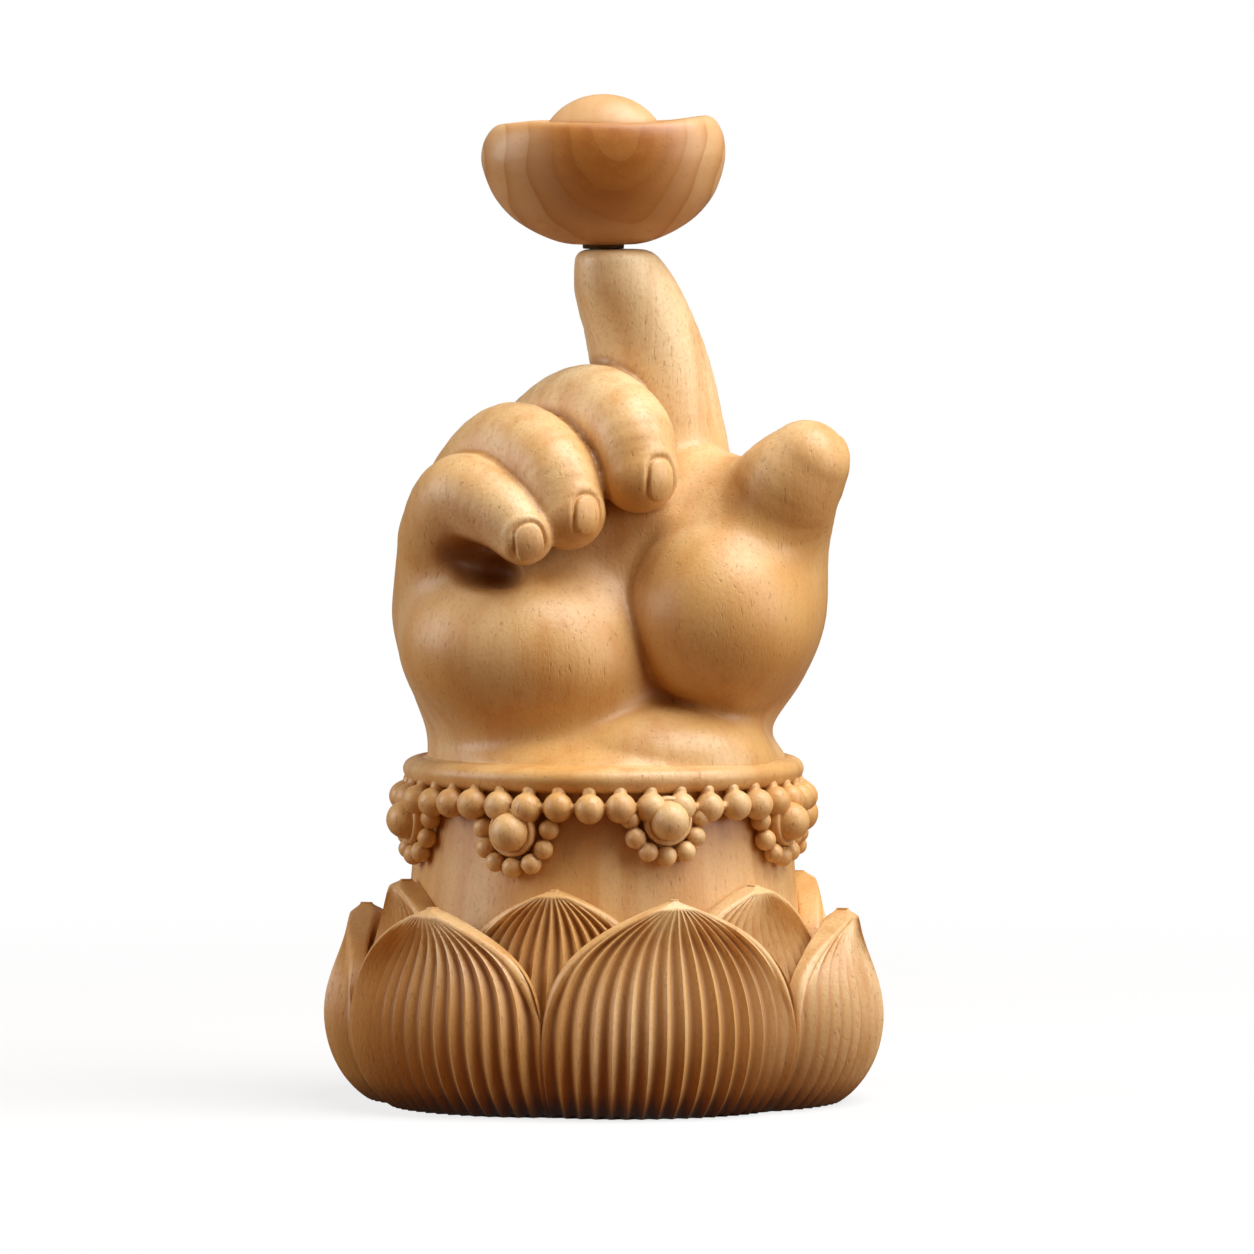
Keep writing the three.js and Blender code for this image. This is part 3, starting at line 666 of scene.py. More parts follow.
# Nails: place on the skin, direction they face, direction of the root, half width and half length.
NAILS = (
    ((-7.9, -18.0, 62.3), (0.4, -0.9, 0.15), (-0.35, 0.2, 0.9), 1.6, 2.05),
    ((-0.9, -16.9, 65.0), (0.6, -0.8, 0.1), (0, 0.1, 1), 1.65, 2.25),
    ((6.7, -14.2, 68.8), (0.62, -0.78, 0.1), (-0.1, 0.1, 1), 1.7, 2.35),
    ((-1.9, 5.6, 89.6), (-0.57, 0.82, 0.1), (0.1, 0.1, -1), 2.3, 2.8),
    ((26.6, -5.6, 71.0), (0.93, 0.1, 0.33), (-0.3, 0, -1), 2.3, 2.8),
)
NAIL_SQUARENESS = 2.6
NAIL_DEPTH = 2.6
NAIL_MARGIN = 1.4


def carve_nail(piece, nail, groove):
    """Raises a nail and the fold of skin round it, cuts the line between, and says where the line runs."""
    place, facing, root, half_width, half_length = nail
    places = points_of(piece)
    normals = normals_of(piece)
    facing = np.array(facing) / np.linalg.norm(facing)
    middle = places[np.argmin(np.linalg.norm(places - np.array(place), axis=1))]
    up = np.array(root) - np.dot(root, facing) * facing
    up /= np.linalg.norm(up)
    side = np.cross(facing, up)
    away = places - middle
    across = np.abs(away @ side / half_width)
    along = away @ up / half_length
    reach = (across**NAIL_SQUARENESS + np.abs(along) ** NAIL_SQUARENESS) ** (1 / NAIL_SQUARENESS)
    near = (np.abs(away @ facing) < NAIL_DEPTH) & (normals @ facing > 0.05)
    plate = (1 - smoothstep(0.82, 1.0, reach)) * (0.06 + 0.2 * smoothstep(0.9, -0.9, along))
    line = np.exp(-(((reach - 1.05) / 0.1) ** 2)) * smoothstep(-0.9, -0.1, along)
    fold = 0.15 * np.exp(-(((reach - 1.36) / 0.2) ** 2)) * smoothstep(-0.7, 0.1, along)
    lift = np.where(near, plate - groove * line + fold, 0)
    put_points(piece, places + lift[:, None] * normals)
    return np.where(near, line, 0)


def refine_nails(piece):
    """Divides the skin's cells where the nails are cut."""
    centres = rows_of(piece.data.polygons, "center", 3) / MM
    chosen = np.zeros(len(centres), dtype=bool)
    for place, *_, half_length in NAILS:
        chosen |= np.linalg.norm(centres - np.array(place), axis=1) < half_length + NAIL_MARGIN
    edit_chosen(piece, "FACE", chosen)
    bpy.ops.mesh.subdivide(number_cuts=2)
    mode("OBJECT")


# Finishes


def feed(entry, value):
    """Joins a value to a socket, or sets the socket to a constant."""
    if isinstance(value, Value):
        entry.id_data.links.new(value.socket, entry)
    else:
        entry.default_value = value


def sums(operation, swapped=False):
    """An operator that adds a Math node to the tree of a value's socket."""

    def operator(self, other):
        node = self.socket.id_data.nodes.new("ShaderNodeMath")
        node.operation = operation
        for entry, term in zip(node.inputs, (other, self) if swapped else (self, other)):
            feed(entry, term)
        return Value(node.outputs[0])

    return operator


class Value:
    """A shader socket in sums."""

    def __init__(self, socket):
        self.socket = socket

    __add__ = sums("ADD")
    __radd__ = sums("ADD", swapped=True)
    __sub__ = sums("SUBTRACT")
    __rsub__ = sums("SUBTRACT", swapped=True)
    __mul__ = sums("MULTIPLY")
    __rmul__ = sums("MULTIPLY", swapped=True)
    __pow__ = sums("POWER")


class Finish:
    """The nodes of a material or of the world, under construction."""

    def __init__(self, owner, shader="Principled BSDF"):
        owner.use_nodes = True
        self.owner = owner
        self.tree = owner.node_tree
        self.shader = self.tree.nodes[shader]

    def node(self, kind, settings, entries, result=0):
        """Adds a node with its settings first and then its sockets, and returns one result."""
        node = self.tree.nodes.new(kind)
        for key, value in settings.items():
            setattr(node, key, value)
        for key, value in entries.items():
            feed(node.inputs[key], value)
        return Value(node.outputs[result])

    def fill(self, entries):
        """Joins values to the shader's sockets, or sets the sockets to constants."""
        for key, value in entries.items():
            feed(self.shader.inputs[key], value)

    def place(self, scale=(1, 1, 1), offset=(0, 0, 0), turn=(0, 0, 0)):
        """The place on the object, moved, turned and scaled for a pattern."""
        here = self.node("ShaderNodeTexCoord", {}, {}, "Object")
        entries = {"Vector": here, "Location": offset, "Rotation": turn, "Scale": scale}
        return self.node("ShaderNodeMapping", {"vector_type": "POINT"}, entries)

    def noise(self, scale, detail=2.0, rough=0.5):
        """Cloudy noise from 0 to 1, with its scale in waves per metre along each axis."""
        entries = {"Vector": self.place(scale), "Scale": 1.0, "Detail": detail, "Roughness": rough}
        return self.node("ShaderNodeTexNoise", {"noise_dimensions": "3D"}, entries, "Fac")

    def step(self, value, low, high):
        """A smooth step of a value from 0 at low to 1 at high."""
        entries = {"Value": value, "From Min": low, "From Max": high, "To Min": 0.0, "To Max": 1.0}
        return self.node("ShaderNodeMapRange", {"interpolation_type": "SMOOTHSTEP"}, entries)

    def mix(self, share, first, second):
        """A colour between two colours."""
        full = [value if isinstance(value, Value) else (*value, 1) for value in (first, second)]
        return self.node("ShaderNodeMix", {"data_type": "RGBA"}, {0: share, 6: full[0], 7: full[1]}, 2)

    def layered(self, colour, *layers):
        """A colour with others laid over it in turn, each by its own share."""
        for share, tone in layers:
            colour = self.mix(share, colour, tone)
        return colour

    def recess(self):
        """How deep in a cut or in shade the surface lies, which the woods paint darker as patina and
        painted shade.
        """
        return self.node("ShaderNodeAttribute", {"attribute_name": "recess"}, {}, "Fac")

    def height(self):
        """Height above the floor in metres."""
        return self.node("ShaderNodeSeparateXYZ", {}, {0: self.place()}, "Z")

    def rays(self):
        """Whether a ray comes from the camera, through glass or off a gloss, as three values."""
        kinds = ("Is Camera Ray", "Is Transmission Ray", "Is Glossy Ray")
        return [self.node("ShaderNodeLightPath", {}, {}, kind) for kind in kinds]

    def wave(self, value):
        """A wave from 0 to 1."""
        sine = self.node("ShaderNodeMath", {"operation": "SINE"}, {0: value})
        return sine * 0.5 + 0.5

    def distance(self, place):
        """Distance of a place from the pattern's middle."""
        return self.node("ShaderNodeVectorMath", {"operation": "LENGTH"}, {0: place}, "Value")

    def surface(self, colour, rough, height, depth):
        """Joins colour, roughness and a bump of this depth in metres to the shader."""
        bump = self.node("ShaderNodeBump", {}, {"Height": height, "Strength": 1.0, "Distance": depth})
        self.fill({"Base Color": colour, "Roughness": rough, "Normal": bump})
        return self.owner


def make_boxwood(colours):
    """Carved boxwood: upright fibres, faint rings and fine pores, with painted light that makes it paler
    high up, and patina and painted shade that darken it in the cuts.
    """
    finish = Finish(bpy.data.materials.new("carved_boxwood"))
    warm = colours.boxwood_warm
    fibre = finish.noise((1500, 1500, 70), detail=4, rough=0.6)
    streak = finish.noise((330, 330, 16), detail=3, rough=0.55)
    cloud = finish.noise((55, 55, 30))
    pore = finish.step(finish.noise((2900, 2900, 800)), 0.62, 0.72)
    drift = finish.noise((40, 40, 18))
    pith = finish.distance(finish.place((1, 1, 0.08), (0.031, -0.052, 0), (0.1, 0.06, 0)))
    ring = finish.wave(pith * 1300 + drift * 14)
    grain = finish.noise((2700, 2700, 2000))
    deep = finish.recess()
    colour = finish.layered(
        colours.boxwood,
        (finish.step(cloud, 0.34, 0.66) * 0.62, colours.boxwood_pale),
        # Painted light: the wood turns paler between 70 and 84 mm up, on the raised finger and the tops of
        # the fingers.
        (finish.step(finish.height(), 0.07, 0.084), colours.boxwood_pale),
        (finish.step(streak, 0.46, 0.74) * 0.5, warm),
        (ring**3 * 0.28, warm),
        (finish.step(fibre, 0.5, 0.72) * 0.2, warm),
        (finish.step(grain, 0.5, 0.72) * 0.3, warm),
        (pore * 0.2, colours.recess),
        # Painted shade: shallow hollows turn warm and deep ones dark, partly patina and partly shade
        # painted into the cuts and creases.
        (finish.step(deep, 0.03, 0.45) * 0.6, warm),
        (deep**1.5 * 0.9, colours.recess),
    )
    rough = colours.polish + fibre * 0.12 + grain * 0.12 - 0.1
    relief = fibre * 0.4 + streak * 0.4 + grain * 0.45 - pore * 0.4
    finish.fill({"Coat Weight": 0.3, "Coat Roughness": 0.4})
    return finish.surface(colour, rough, relief, depth=0.00008)


def make_ingot_wood(colours):
    """Deeper turned wood with growth rings that show as nested curves on the ingot's side."""
    finish = Finish(bpy.data.materials.new("banded_ingot_wood"))
    warm = colours.boxwood_warm
    fibre = finish.noise((900, 90, 900), detail=4, rough=0.6)
    drift = finish.noise((70, 25, 70))
    cloud = finish.noise((90, 40, 90))
    pore = finish.step(finish.noise((2400, 500, 2400)), 0.64, 0.74)
    middle = (-0.001, 0, -(BOAT_TOP - 1) * MM * 0.75)
    pith = finish.distance(finish.place((1, 0.18, 0.75), middle))
    growth = finish.node("ShaderNodeMath", {"operation": "FRACT"}, {0: pith * 400 + drift * 2})
    raised = finish.step(finish.height(), (BOAT_TOP - 1.2) * MM, BOAT_TOP * MM)
    outward = finish.step(pith, 0.0045, 0.012) * (1 - raised) + raised
    late = growth**2 * (1 - finish.step(growth, 0.9, 1.0)) * (1 - 0.75 * raised)
    colour = finish.layered(
        colours.ingot,
        (outward * 0.9, colours.ingot_pale),
        (late * 0.7, warm),
        (late**3 * 0.4, colours.recess),
        (finish.step(cloud, 0.45, 0.7) * 0.25, warm),
        (finish.step(fibre, 0.46, 0.72) * 0.2, warm),
        (pore * 0.12, colours.recess),
        # Patina and painted shade darken the hollows of the boat.
        (finish.recess() * 0.9, colours.recess),
    )
    rough = colours.polish + fibre * 0.14 + pore * 0.1 - 0.08
    finish.fill({"Coat Weight": 0.1, "Coat Roughness": 0.34})
    return finish.surface(colour, rough, fibre * 0.7 - pore * 0.2, depth=0.00005)


def make_dowel_wood(colours):
    """Plain beech with short flecks."""
    finish = Finish(bpy.data.materials.new("plain_dowel_wood"))
    fibre = finish.noise((1100, 1100, 60), detail=3, rough=0.6)
    fleck = finish.step(finish.noise((1900, 1900, 500)), 0.6, 0.7)
    colour = finish.layered(
        colours.dowel,
        (finish.step(fibre, 0.4, 0.7) * 0.35, colours.boxwood_warm),
        (fleck * 0.3, colours.recess),
    )
    return finish.surface(colour, 0.5 + fibre * 0.2, fibre - fleck * 0.5, depth=0.00005)


def make_metal(name, colour, rough):
    """Turned metal with fine rings left by the tool and a little stain."""
    finish = Finish(bpy.data.materials.new(name))
    tool = finish.noise((300, 300, 9000))
    cloud = finish.noise((500, 500, 500), detail=3, rough=0.6)
    stain = tuple(channel * 0.6 for channel in colour)
    tone = finish.mix(finish.step(cloud, 0.45, 0.75) * 0.5, colour, stain)
    finish.fill({"Metallic": 1.0})
    return finish.surface(tone, rough + cloud * 0.2, tool, depth=0.00001)


class ORNAMENT_OT_mix_finishes(Operator):
    """Makes the woods and metals, and gives theirs to the solids that no piece replaces"""

    bl_idname = "ornament.mix_finishes"
    bl_label = "Mix Finishes"

    def execute(self, context):
        colours = context.scene.ornament.finishes
        kept = {
            "lotus_core": make_boxwood(colours),
            "centre_dowel": make_dowel_wood(colours),
            "pivot_pin": make_metal("turned_steel", colours.steel, rough=0.24),
        }
        make_ingot_wood(colours)
        make_metal("turned_brass", colours.brass, rough=0.28)
        for node, material in kept.items():
            mesh = frame["nodes"][node].data
            mesh.materials.clear()
            mesh.materials.append(material)
        return {"FINISHED"}


# Lotus seat

# Walls of the outer petals, how much thinner their tips are, walls of the inner petals at the tip, and how
# deep these are sunk in the drum.
OUTER_WALL = 3.9
OUTER_THINNING = 0.8
INNER_WALL = 2.9
INNER_SINK = 0.2

# How far across its half width a petal is fluted, and where the columns of its rounded rim stand.
FLUTED_SHARE = 0.975
RIM_SHARES = np.array([0.985, 0.993, 0.998])


def petal_table(face, back, tip, half_angle, point, crown, flutes, per_flute, sizes, rows):
    """Points round a fluted petal, row by row up to its tip, and how dark each is painted: patina and
    painted shade in the flutes, painted shade at the sides and the foot.
    """
    columns = np.linspace(-FLUTED_SHARE, FLUTED_SHARE, flutes * per_flute + 1)
    front = np.concatenate([[-1], -RIM_SHARES[::-1], columns, RIM_SHARES])
    behind = np.concatenate([[1], RIM_SHARES[::-1], np.linspace(0.96, -0.96, 40), -RIM_SHARES])
    across = np.concatenate([front, behind])
    is_front = np.arange(len(across)) < len(front)
    foot = face[0][1]
    span = tip - foot
    height = foot + span * np.sin(np.linspace(0, 0.99, rows) * math.pi / 2)[:, None]
    face_radius = np.interp(height, face[:, 1], face[:, 0])
    thickness = face_radius - back(height)
    climb = (height - foot) / span
    share = (1 - np.minimum(height / tip, 1) ** 6) ** point
    width = np.maximum(half_angle * share, 0.4 / face_radius)
    angle = across * width
    rounding = 1 - (1 - np.abs(across) ** 8) ** (1 / 8)
    round_off = thickness / 2 * (0.3 + 0.7 * smoothstep(0.3, 0.6, climb)) * rounding
    depth = np.where(is_front, round_off, thickness - round_off)
    inset = (1 - np.abs(across)) * width * face_radius
    lip = 0.35 + sizes.lip / MM * smoothstep(0.35, 0.75, climb)
    pitch = 2 * width * face_radius / flutes
    turn = (across / FLUTED_SHARE + 1) / 2 * flutes
    hollow = np.abs(np.sin(math.pi * turn)) ** 1.15 * smoothstep(lip * 0.45, lip * 1.1, inset)
    hollow *= np.minimum(pitch / 1.3, 1) * smoothstep(1.0, 0.84, climb) * is_front
    depth += (thickness / 2 - depth) * 0.6 * smoothstep(0.95, 1, climb)
    fall = np.where(is_front, crown, 0) * (angle / half_angle) ** 2
    reach = face_radius - depth - fall - hollow * sizes.flute_depth / MM
    table = np.stack([reach * np.sin(angle), -reach * np.cos(angle), height + 0 * angle], axis=2)
    # Painted shade: dark at the sides where petals meet and at the foot where the petal curves under; the
    # flutes get patina and painted shade.
    side = smoothstep(0.9, 1, np.abs(across)) * smoothstep(0.8, 0.4, climb)
    foot_shade = (0.12 * smoothstep(0.36, 0.1, climb) + 0.68 * smoothstep(0.16, 0, climb)) * is_front
    return table, 0.62 * hollow**2.5 + 0.4 * side + foot_shade


def stretch_tip(piece, height):
    """Draws the upper part of an outer petal up or down, its tip by this height in millimetres."""
    places = points_of(piece)
    places[:, 2] += height * smoothstep(0.35, 1, places[:, 2] / OUTER_TIP)
    put_points(piece, places)


def petal_side(widest, foot, shoulder, tip_radius, tip):
    """A petal's side by radius and height, from its widest place up to its tip."""
    rise = tip - foot
    return bezier(
        (widest, foot), (widest, foot + rise * 0.4), (shoulder, foot + rise * 0.7), (tip_radius, tip)
    )


class ORNAMENT_OT_carve_seat(Operator):
    """Carves the outer and inner petals of the lotus seat"""

    bl_idname = "ornament.carve_seat"
    bl_label = "Carve Lotus Seat"

    def execute(self, context):
        sizes = context.scene.ornament.seat
        lower = bezier(
            (BELLY_RADIUS - 4.8, 0),
            (BELLY_RADIUS - 1.68, BELLY_HEIGHT * 0.2),
            (BELLY_RADIUS, BELLY_HEIGHT * 0.6),
            (BELLY_RADIUS, BELLY_HEIGHT),
        )
        upper = petal_side(BELLY_RADIUS, BELLY_HEIGHT, BELLY_RADIUS - 3.12, BELLY_RADIUS - 2.6, OUTER_TIP)
        face = np.vstack([lower, upper[1:]])

        def outer_back(height):
            wall = OUTER_WALL - OUTER_THINNING * smoothstep(0.35, 1, height / OUTER_TIP)
            return np.interp(height, face[:, 1], face[:, 0]) - wall

        table, recess = petal_table(
            face,
            outer_back,
            OUTER_TIP,
            half_angle=math.radians(30.2),
            point=1.25,
            crown=1.9,
            flutes=sizes.outer_flutes,
            per_flute=12,
            sizes=sizes,
            rows=84,
        )
        outer = wrapped("outer_petal_carved", table, recess)
        widest = float(outer_back(INNER_FOOT))
        tip_radius = drum_radius(INNER_TIP) + INNER_WALL
        inner_face = petal_side(widest, INNER_FOOT, tip_radius, tip_radius, INNER_TIP)

        def inner_back(height):
            return drum_radius(height) - INNER_SINK

        table, recess = petal_table(
            inner_face,
            inner_back,
            INNER_TIP,
            half_angle=math.radians(29.8),
            point=1,
            crown=1.2,
            flutes=sizes.inner_flutes,
            per_flute=10,
            sizes=sizes,
            rows=60,
        )
        inner = wrapped("inner_petal_carved", table, recess)
        for piece, name, turn in ((outer, "outer_petal", OUTER_TURN), (inner, "inner_petal", INNER_TURN)):
            for number, copy in enumerate(round_the_seat(piece, f"{name}_carved", PETALS, turn), 1):
                if name == "outer_petal":
                    stretch_tip(copy, TIP_LIFTS[number - 1])
                finish_piece(copy, "boxwood", f"{name}_{number}")
        return {"FINISHED"}


# Wrist

# Heights between which the drum darkens towards the rim with the painted shadow of the garland and rim,
# and how dark it gets.
GARLAND_SHADOW_HEIGHTS = (25, 31)
GARLAND_SHADOW = 0.36

# The rolled rim from inside its foot round to inside its top: radius and height.
RIM = (
    (18.4, RIM_LOW - 0.2),
    (20.0, RIM_LOW - 0.35),
    (21.1, RIM_LOW - 0.2),
    (21.8, RIM_LOW + 0.4),
    (22.05, RIM_LOW + 1.2),
    (21.75, RIM_LOW + 1.95),
    (21.0, RIM_LOW + 2.4),
    (20.3, RIM_TOP + 0.02),
    (19.95, RIM_TOP - 0.12),
    (19.6, RIM_TOP + 0.05),
    (18.9, RIM_TOP + 0.25),
    (18.3, RIM_TOP + 0.3),
)


class ORNAMENT_OT_turn_wrist(Operator):
    """Turns the drum under the hand and the rolled rim at its top"""

    bl_idname = "ornament.turn_wrist"
    bl_label = "Turn Wrist"

    def execute(self, context):
        top = DRUM_TOP + 0.2
        foot = [(0, DRUM_FOOT), (DRUM_FOOT_RADIUS, DRUM_FOOT)]
        side = [(drum_radius(height), height) for height in (18, 25, 28, 31, 33.4)]
        cove = [(drum_radius(34.6) + 0.15, 34.6), (drum_radius(DRUM_TOP) + 0.3, top), (0, top)]
        drum = spun("wrist_drum_turned", [*foot, *side, *cove], steps=128)
        # Painted shadow of the garland and rim on the drum.
        store_recess(drum, GARLAND_SHADOW * smoothstep(*GARLAND_SHADOW_HEIGHTS, points_of(drum)[:, 2]))
        finish_piece(drum, "boxwood", "wrist_drum")
        profile = through(RIM, steps=3)
        rim = spun("wrist_rim_turned", [*profile, profile[0]], steps=160)
        # Patina and painted shade in the rim's hollows.
        mark_recess(rim, spread=1, gain=1.2)
        finish_piece(rim, "boxwood", "wrist_rim")
        return {"FINISHED"}


# Garland

# How deep the beads of the row, the beads of the drops and the rosettes are sunk in the drum.
ROW_SINK = 0.2
DROP_SINK = 0.1
ROSETTE_SINK = 0.1

# The string through the row, and the necks that hang its beads from the rim.
STRING_RADIUS = 0.5
NECK_RADIUS = 0.8
NECK_INSET = 0.6

# The beads of a drop, and the turns of the first and the last round the rosette.
DROP_BEADS = 7
DROP_TURNS = (176, 364)

# The rosette from its back to the top of its dome: radius and height.
ROSETTE = (
    (0, 0),
    (2.4, 0),
    (2.6, 0.9),
    (2.72, 1.5),
    (2.66, 2.0),
    (2.42, 2.2),
    (2.2, 2.12),
    (2.12, 2.3),
    (2.06, 2.75),
    (1.8, 3.4),
    (1.35, 3.95),
    (0.75, 4.3),
    (0.25, 4.42),
    (0, 4.44),
)


def round_drum(height, radius, turn):
    """A place in millimetres on a level ring, with the turn in degrees from the front."""
    angle = math.radians(turn)
    return np.array([radius * math.sin(angle), -radius * math.cos(angle), height])


def carved_beads(name, balls, cell):
    """Balls run together in one carved skin, with its cells in millimetres."""
    piece = joined(name, balls)
    remesh(piece, cell)
    smooth(piece, rounds=3)
    # Patina and painted shade where the beads run together.
    mark_recess(piece, spread=3, gain=2.4)
    return piece


class ORNAMENT_OT_string_garland(Operator):
    """Carves the row of beads, the rosettes and the bead drops round the wrist"""

    bl_idname = "ornament.string_garland"
    bl_label = "String Garland"

    def execute(self, context):
        sizes = context.scene.ornament.garland
        chance = np.random.default_rng(11)
        finish_piece(self.row(sizes, chance), "boxwood", "bead_string")
        drop = self.drop(sizes, chance)
        for piece, name in ((drop, "bead_drop"), (self.rosette(), "rosette")):
            copies = round_the_seat(piece, f"{name}_carved", PENDANTS, PENDANT_TURN)
            for number, copy in enumerate(copies, 1):
                lifted(copy, PENDANT_LIFTS[number - 1])
                finish_piece(copy, "boxwood", f"{name}_{number}")
        return {"FINISHED"}

    def row(self, sizes, chance):
        """Beads hung under the rim on short necks, run together by a string."""
        choose()
        radius = sizes.bead / MM / 2
        ring = drum_radius(STRING_HEIGHT) + radius - ROW_SINK
        count = PENDANTS * BEADS_PER_PENDANT
        pitch = 360 / count
        stray = sizes.wander / MM
        balls = []
        for number in range(count):
            turn = PENDANT_TURN + (number + 0.5) * pitch
            place = round_drum(STRING_HEIGHT, ring, turn) + chance.uniform(-stray, stray, 3)
            balls.append(add_ball(place, radius * chance.uniform(0.95, 1.03)))
            neck = round_drum(STRING_HEIGHT + radius, ring - NECK_INSET, turn)
            balls.append(add_ball(neck, NECK_RADIUS, segments=12, rings=8))
        bpy.ops.mesh.primitive_torus_add(
            major_radius=ring * MM,
            minor_radius=STRING_RADIUS * MM,
            major_segments=160,
            minor_segments=10,
            location=(0, 0, STRING_HEIGHT * MM),
        )
        balls.append(bpy.context.object)
        return carved_beads("bead_row_carved", balls, cell=0.2)

    def drop(self, sizes, chance):
        """A string of small beads in a U, made at the front."""
        choose()
        radius = sizes.drop_bead / MM / 2
        stray = sizes.wander / MM
        balls = []
        for turn in np.linspace(*DROP_TURNS, DROP_BEADS):
            height = ROSETTE_HEIGHT + DROP_ARC * math.sin(math.radians(turn))
            ring = drum_radius(height) + radius - DROP_SINK
            angle = math.degrees(DROP_ARC * math.cos(math.radians(turn)) / ring)
            place = round_drum(height, ring, angle) + chance.uniform(-stray, stray, 3)
            balls.append(add_ball(place, radius * chance.uniform(0.96, 1.05)))
        return carved_beads("bead_drop_carved", balls, cell=0.16)

    def rosette(self):
        """A round button with a rolled edge, a ring groove and a raised dome, made at the front."""
        profile = through(ROSETTE, steps=4)
        profile[0] = (0, 0)
        profile[:, 0] = np.maximum(profile[:, 0], 0)
        piece = spun("rosette_carved", profile, steps=48)
        seat = drum_radius(ROSETTE_HEIGHT) - ROSETTE_SINK
        choose(piece)
        piece.rotation_euler.x = math.pi / 2
        piece.location = (0, -seat * MM, ROSETTE_HEIGHT * MM)
        bpy.ops.object.transform_apply(location=True, rotation=True, scale=True)
        # Patina and painted shade in the rosette's groove.
        mark_recess(piece, spread=1, gain=1.6)
        return piece


# Hand on the wrist

# How dark the painted shade in the hollow under the little finger and in the lines round the nails is.
CURL_SHADE = 0.75
NAIL_LINE_SHADE = 0.3


class ORNAMENT_OT_carve_hand(Operator):
    """Carves the hand with its curled fingers, thumb and raised index finger"""

    bl_idname = "ornament.carve_hand"
    bl_label = "Carve Hand"

    def execute(self, context):
        sizes = context.scene.ornament.hand
        cell = sizes.cell / MM
        crease = sizes.crease / MM
        piece = self.rough_out()
        remesh(piece, cell)

        def field(places):
            return hand_field(places, crease)

        smooth(piece, rounds=8)
        settle(piece, field, rounds=6)
        remesh(piece, cell)
        drop_bubbles(piece)
        smooth(piece, rounds=3)
        settle(piece, field, rounds=4)
        smooth(piece, rounds=1)
        settle(piece, field, rounds=1)
        relax(piece, hollows_of(piece, spread=3, gain=4), rounds=8)
        # Painted shade in the hollow under the little finger, and patina and painted shade in the creases.
        inside = CURL_SHADE * smoothstep(1.6, -0.8, egg_field(points_of(piece), *CURL))
        store_recess(piece, np.maximum(hollows_of(piece, spread=6, gain=4.2), inside))
        refine_nails(piece)
        recess = recess_of(piece)
        # Painted shade in the lines round the nails.
        for nail in NAILS:
            recess = np.maximum(recess, NAIL_LINE_SHADE * carve_nail(piece, nail, sizes.nail_groove / MM))
        store_recess(piece, recess)
        solids = ("palm", "thumb", "index_finger", "middle_finger", "ring_finger", "little_finger")
        finish_piece(piece, "boxwood", *solids)
        return {"FINISHED"}

    def rough_out(self):
        """Balls along the fingers and in the palm and its mounds, as one piece."""
        choose()
        balls = []
        for finger in (*FINGERS, THUMB):
            balls += [add_ball(row[:3], row[3]) for row in finger[::2]]
        thick = 6
        for height, x, y, half_width, half_depth in PALM[::3]:
            scale = (half_width * PALM_HALF_WIDTH / thick, half_depth * PALM_HALF_DEPTH / thick, 1)
            balls.append(add_ball(spot(x, y, height), thick, segments=32, rings=16, scale=scale))
        for middle, half, lean in (HEEL, THUMB_BALL, WRIST_FOLD):
            turn = (0, math.radians(lean), 0)
            balls.append(add_ball(middle, 1, segments=32, rings=20, scale=half, turn=turn))
        return joined("hand_carved", balls)


# Ingot

# The boat from its foot over the edge to the floor inside: half length and half width as shares of the
# boat's, height as a share of its height, and how far the ends rise above that in millimetres.
BOAT = (
    (0.15, 0.16, -0.021, 0),
    (0.30, 0.31, -0.008, 0),
    (0.43, 0.42, 0.026, 0),
    (0.60, 0.58, 0.102, 0),
    (0.765, 0.75, 0.214, 0),
    (0.895, 0.88, 0.367, 0),
    (0.965, 0.96, 0.52, 0.05),
    (0.998, 0.995, 0.65, 0.1),
    (0.998, 1.0, 0.745, 0.2),
    (0.975, 0.985, 0.84, 0.3),
    (0.925, 0.945, 0.918, 0.38),
    (0.865, 0.89, 0.955, 0.42),
    (0.81, 0.83, 0.955, 0.4),
    (0.77, 0.78, 0.915, 0.34),
    (0.73, 0.72, 0.83, 0.15),
    (0.66, 0.64, 0.75, 0),
    (0.40, 0.38, 0.72, 0),
)

# How far the boat's right end is carved higher, and its left end lower.
RIGHT_END_LIFT = 0.35
LEFT_END_DROP = 0.8


def oval_rows(rows):
    """Level ovals in millimetres from rows of half length, half width, height and rise of the ends."""
    turn = np.linspace(0, 2 * math.pi, 96, endpoint=False)
    length, width, height, rise = (column[:, None] for column in np.array(rows).T)
    x = length * np.cos(turn)
    y = BOAT_MIDDLE + width * np.sin(turn)
    z = height + rise * np.cos(turn) ** 2
    return np.stack([x, y, z], axis=2)


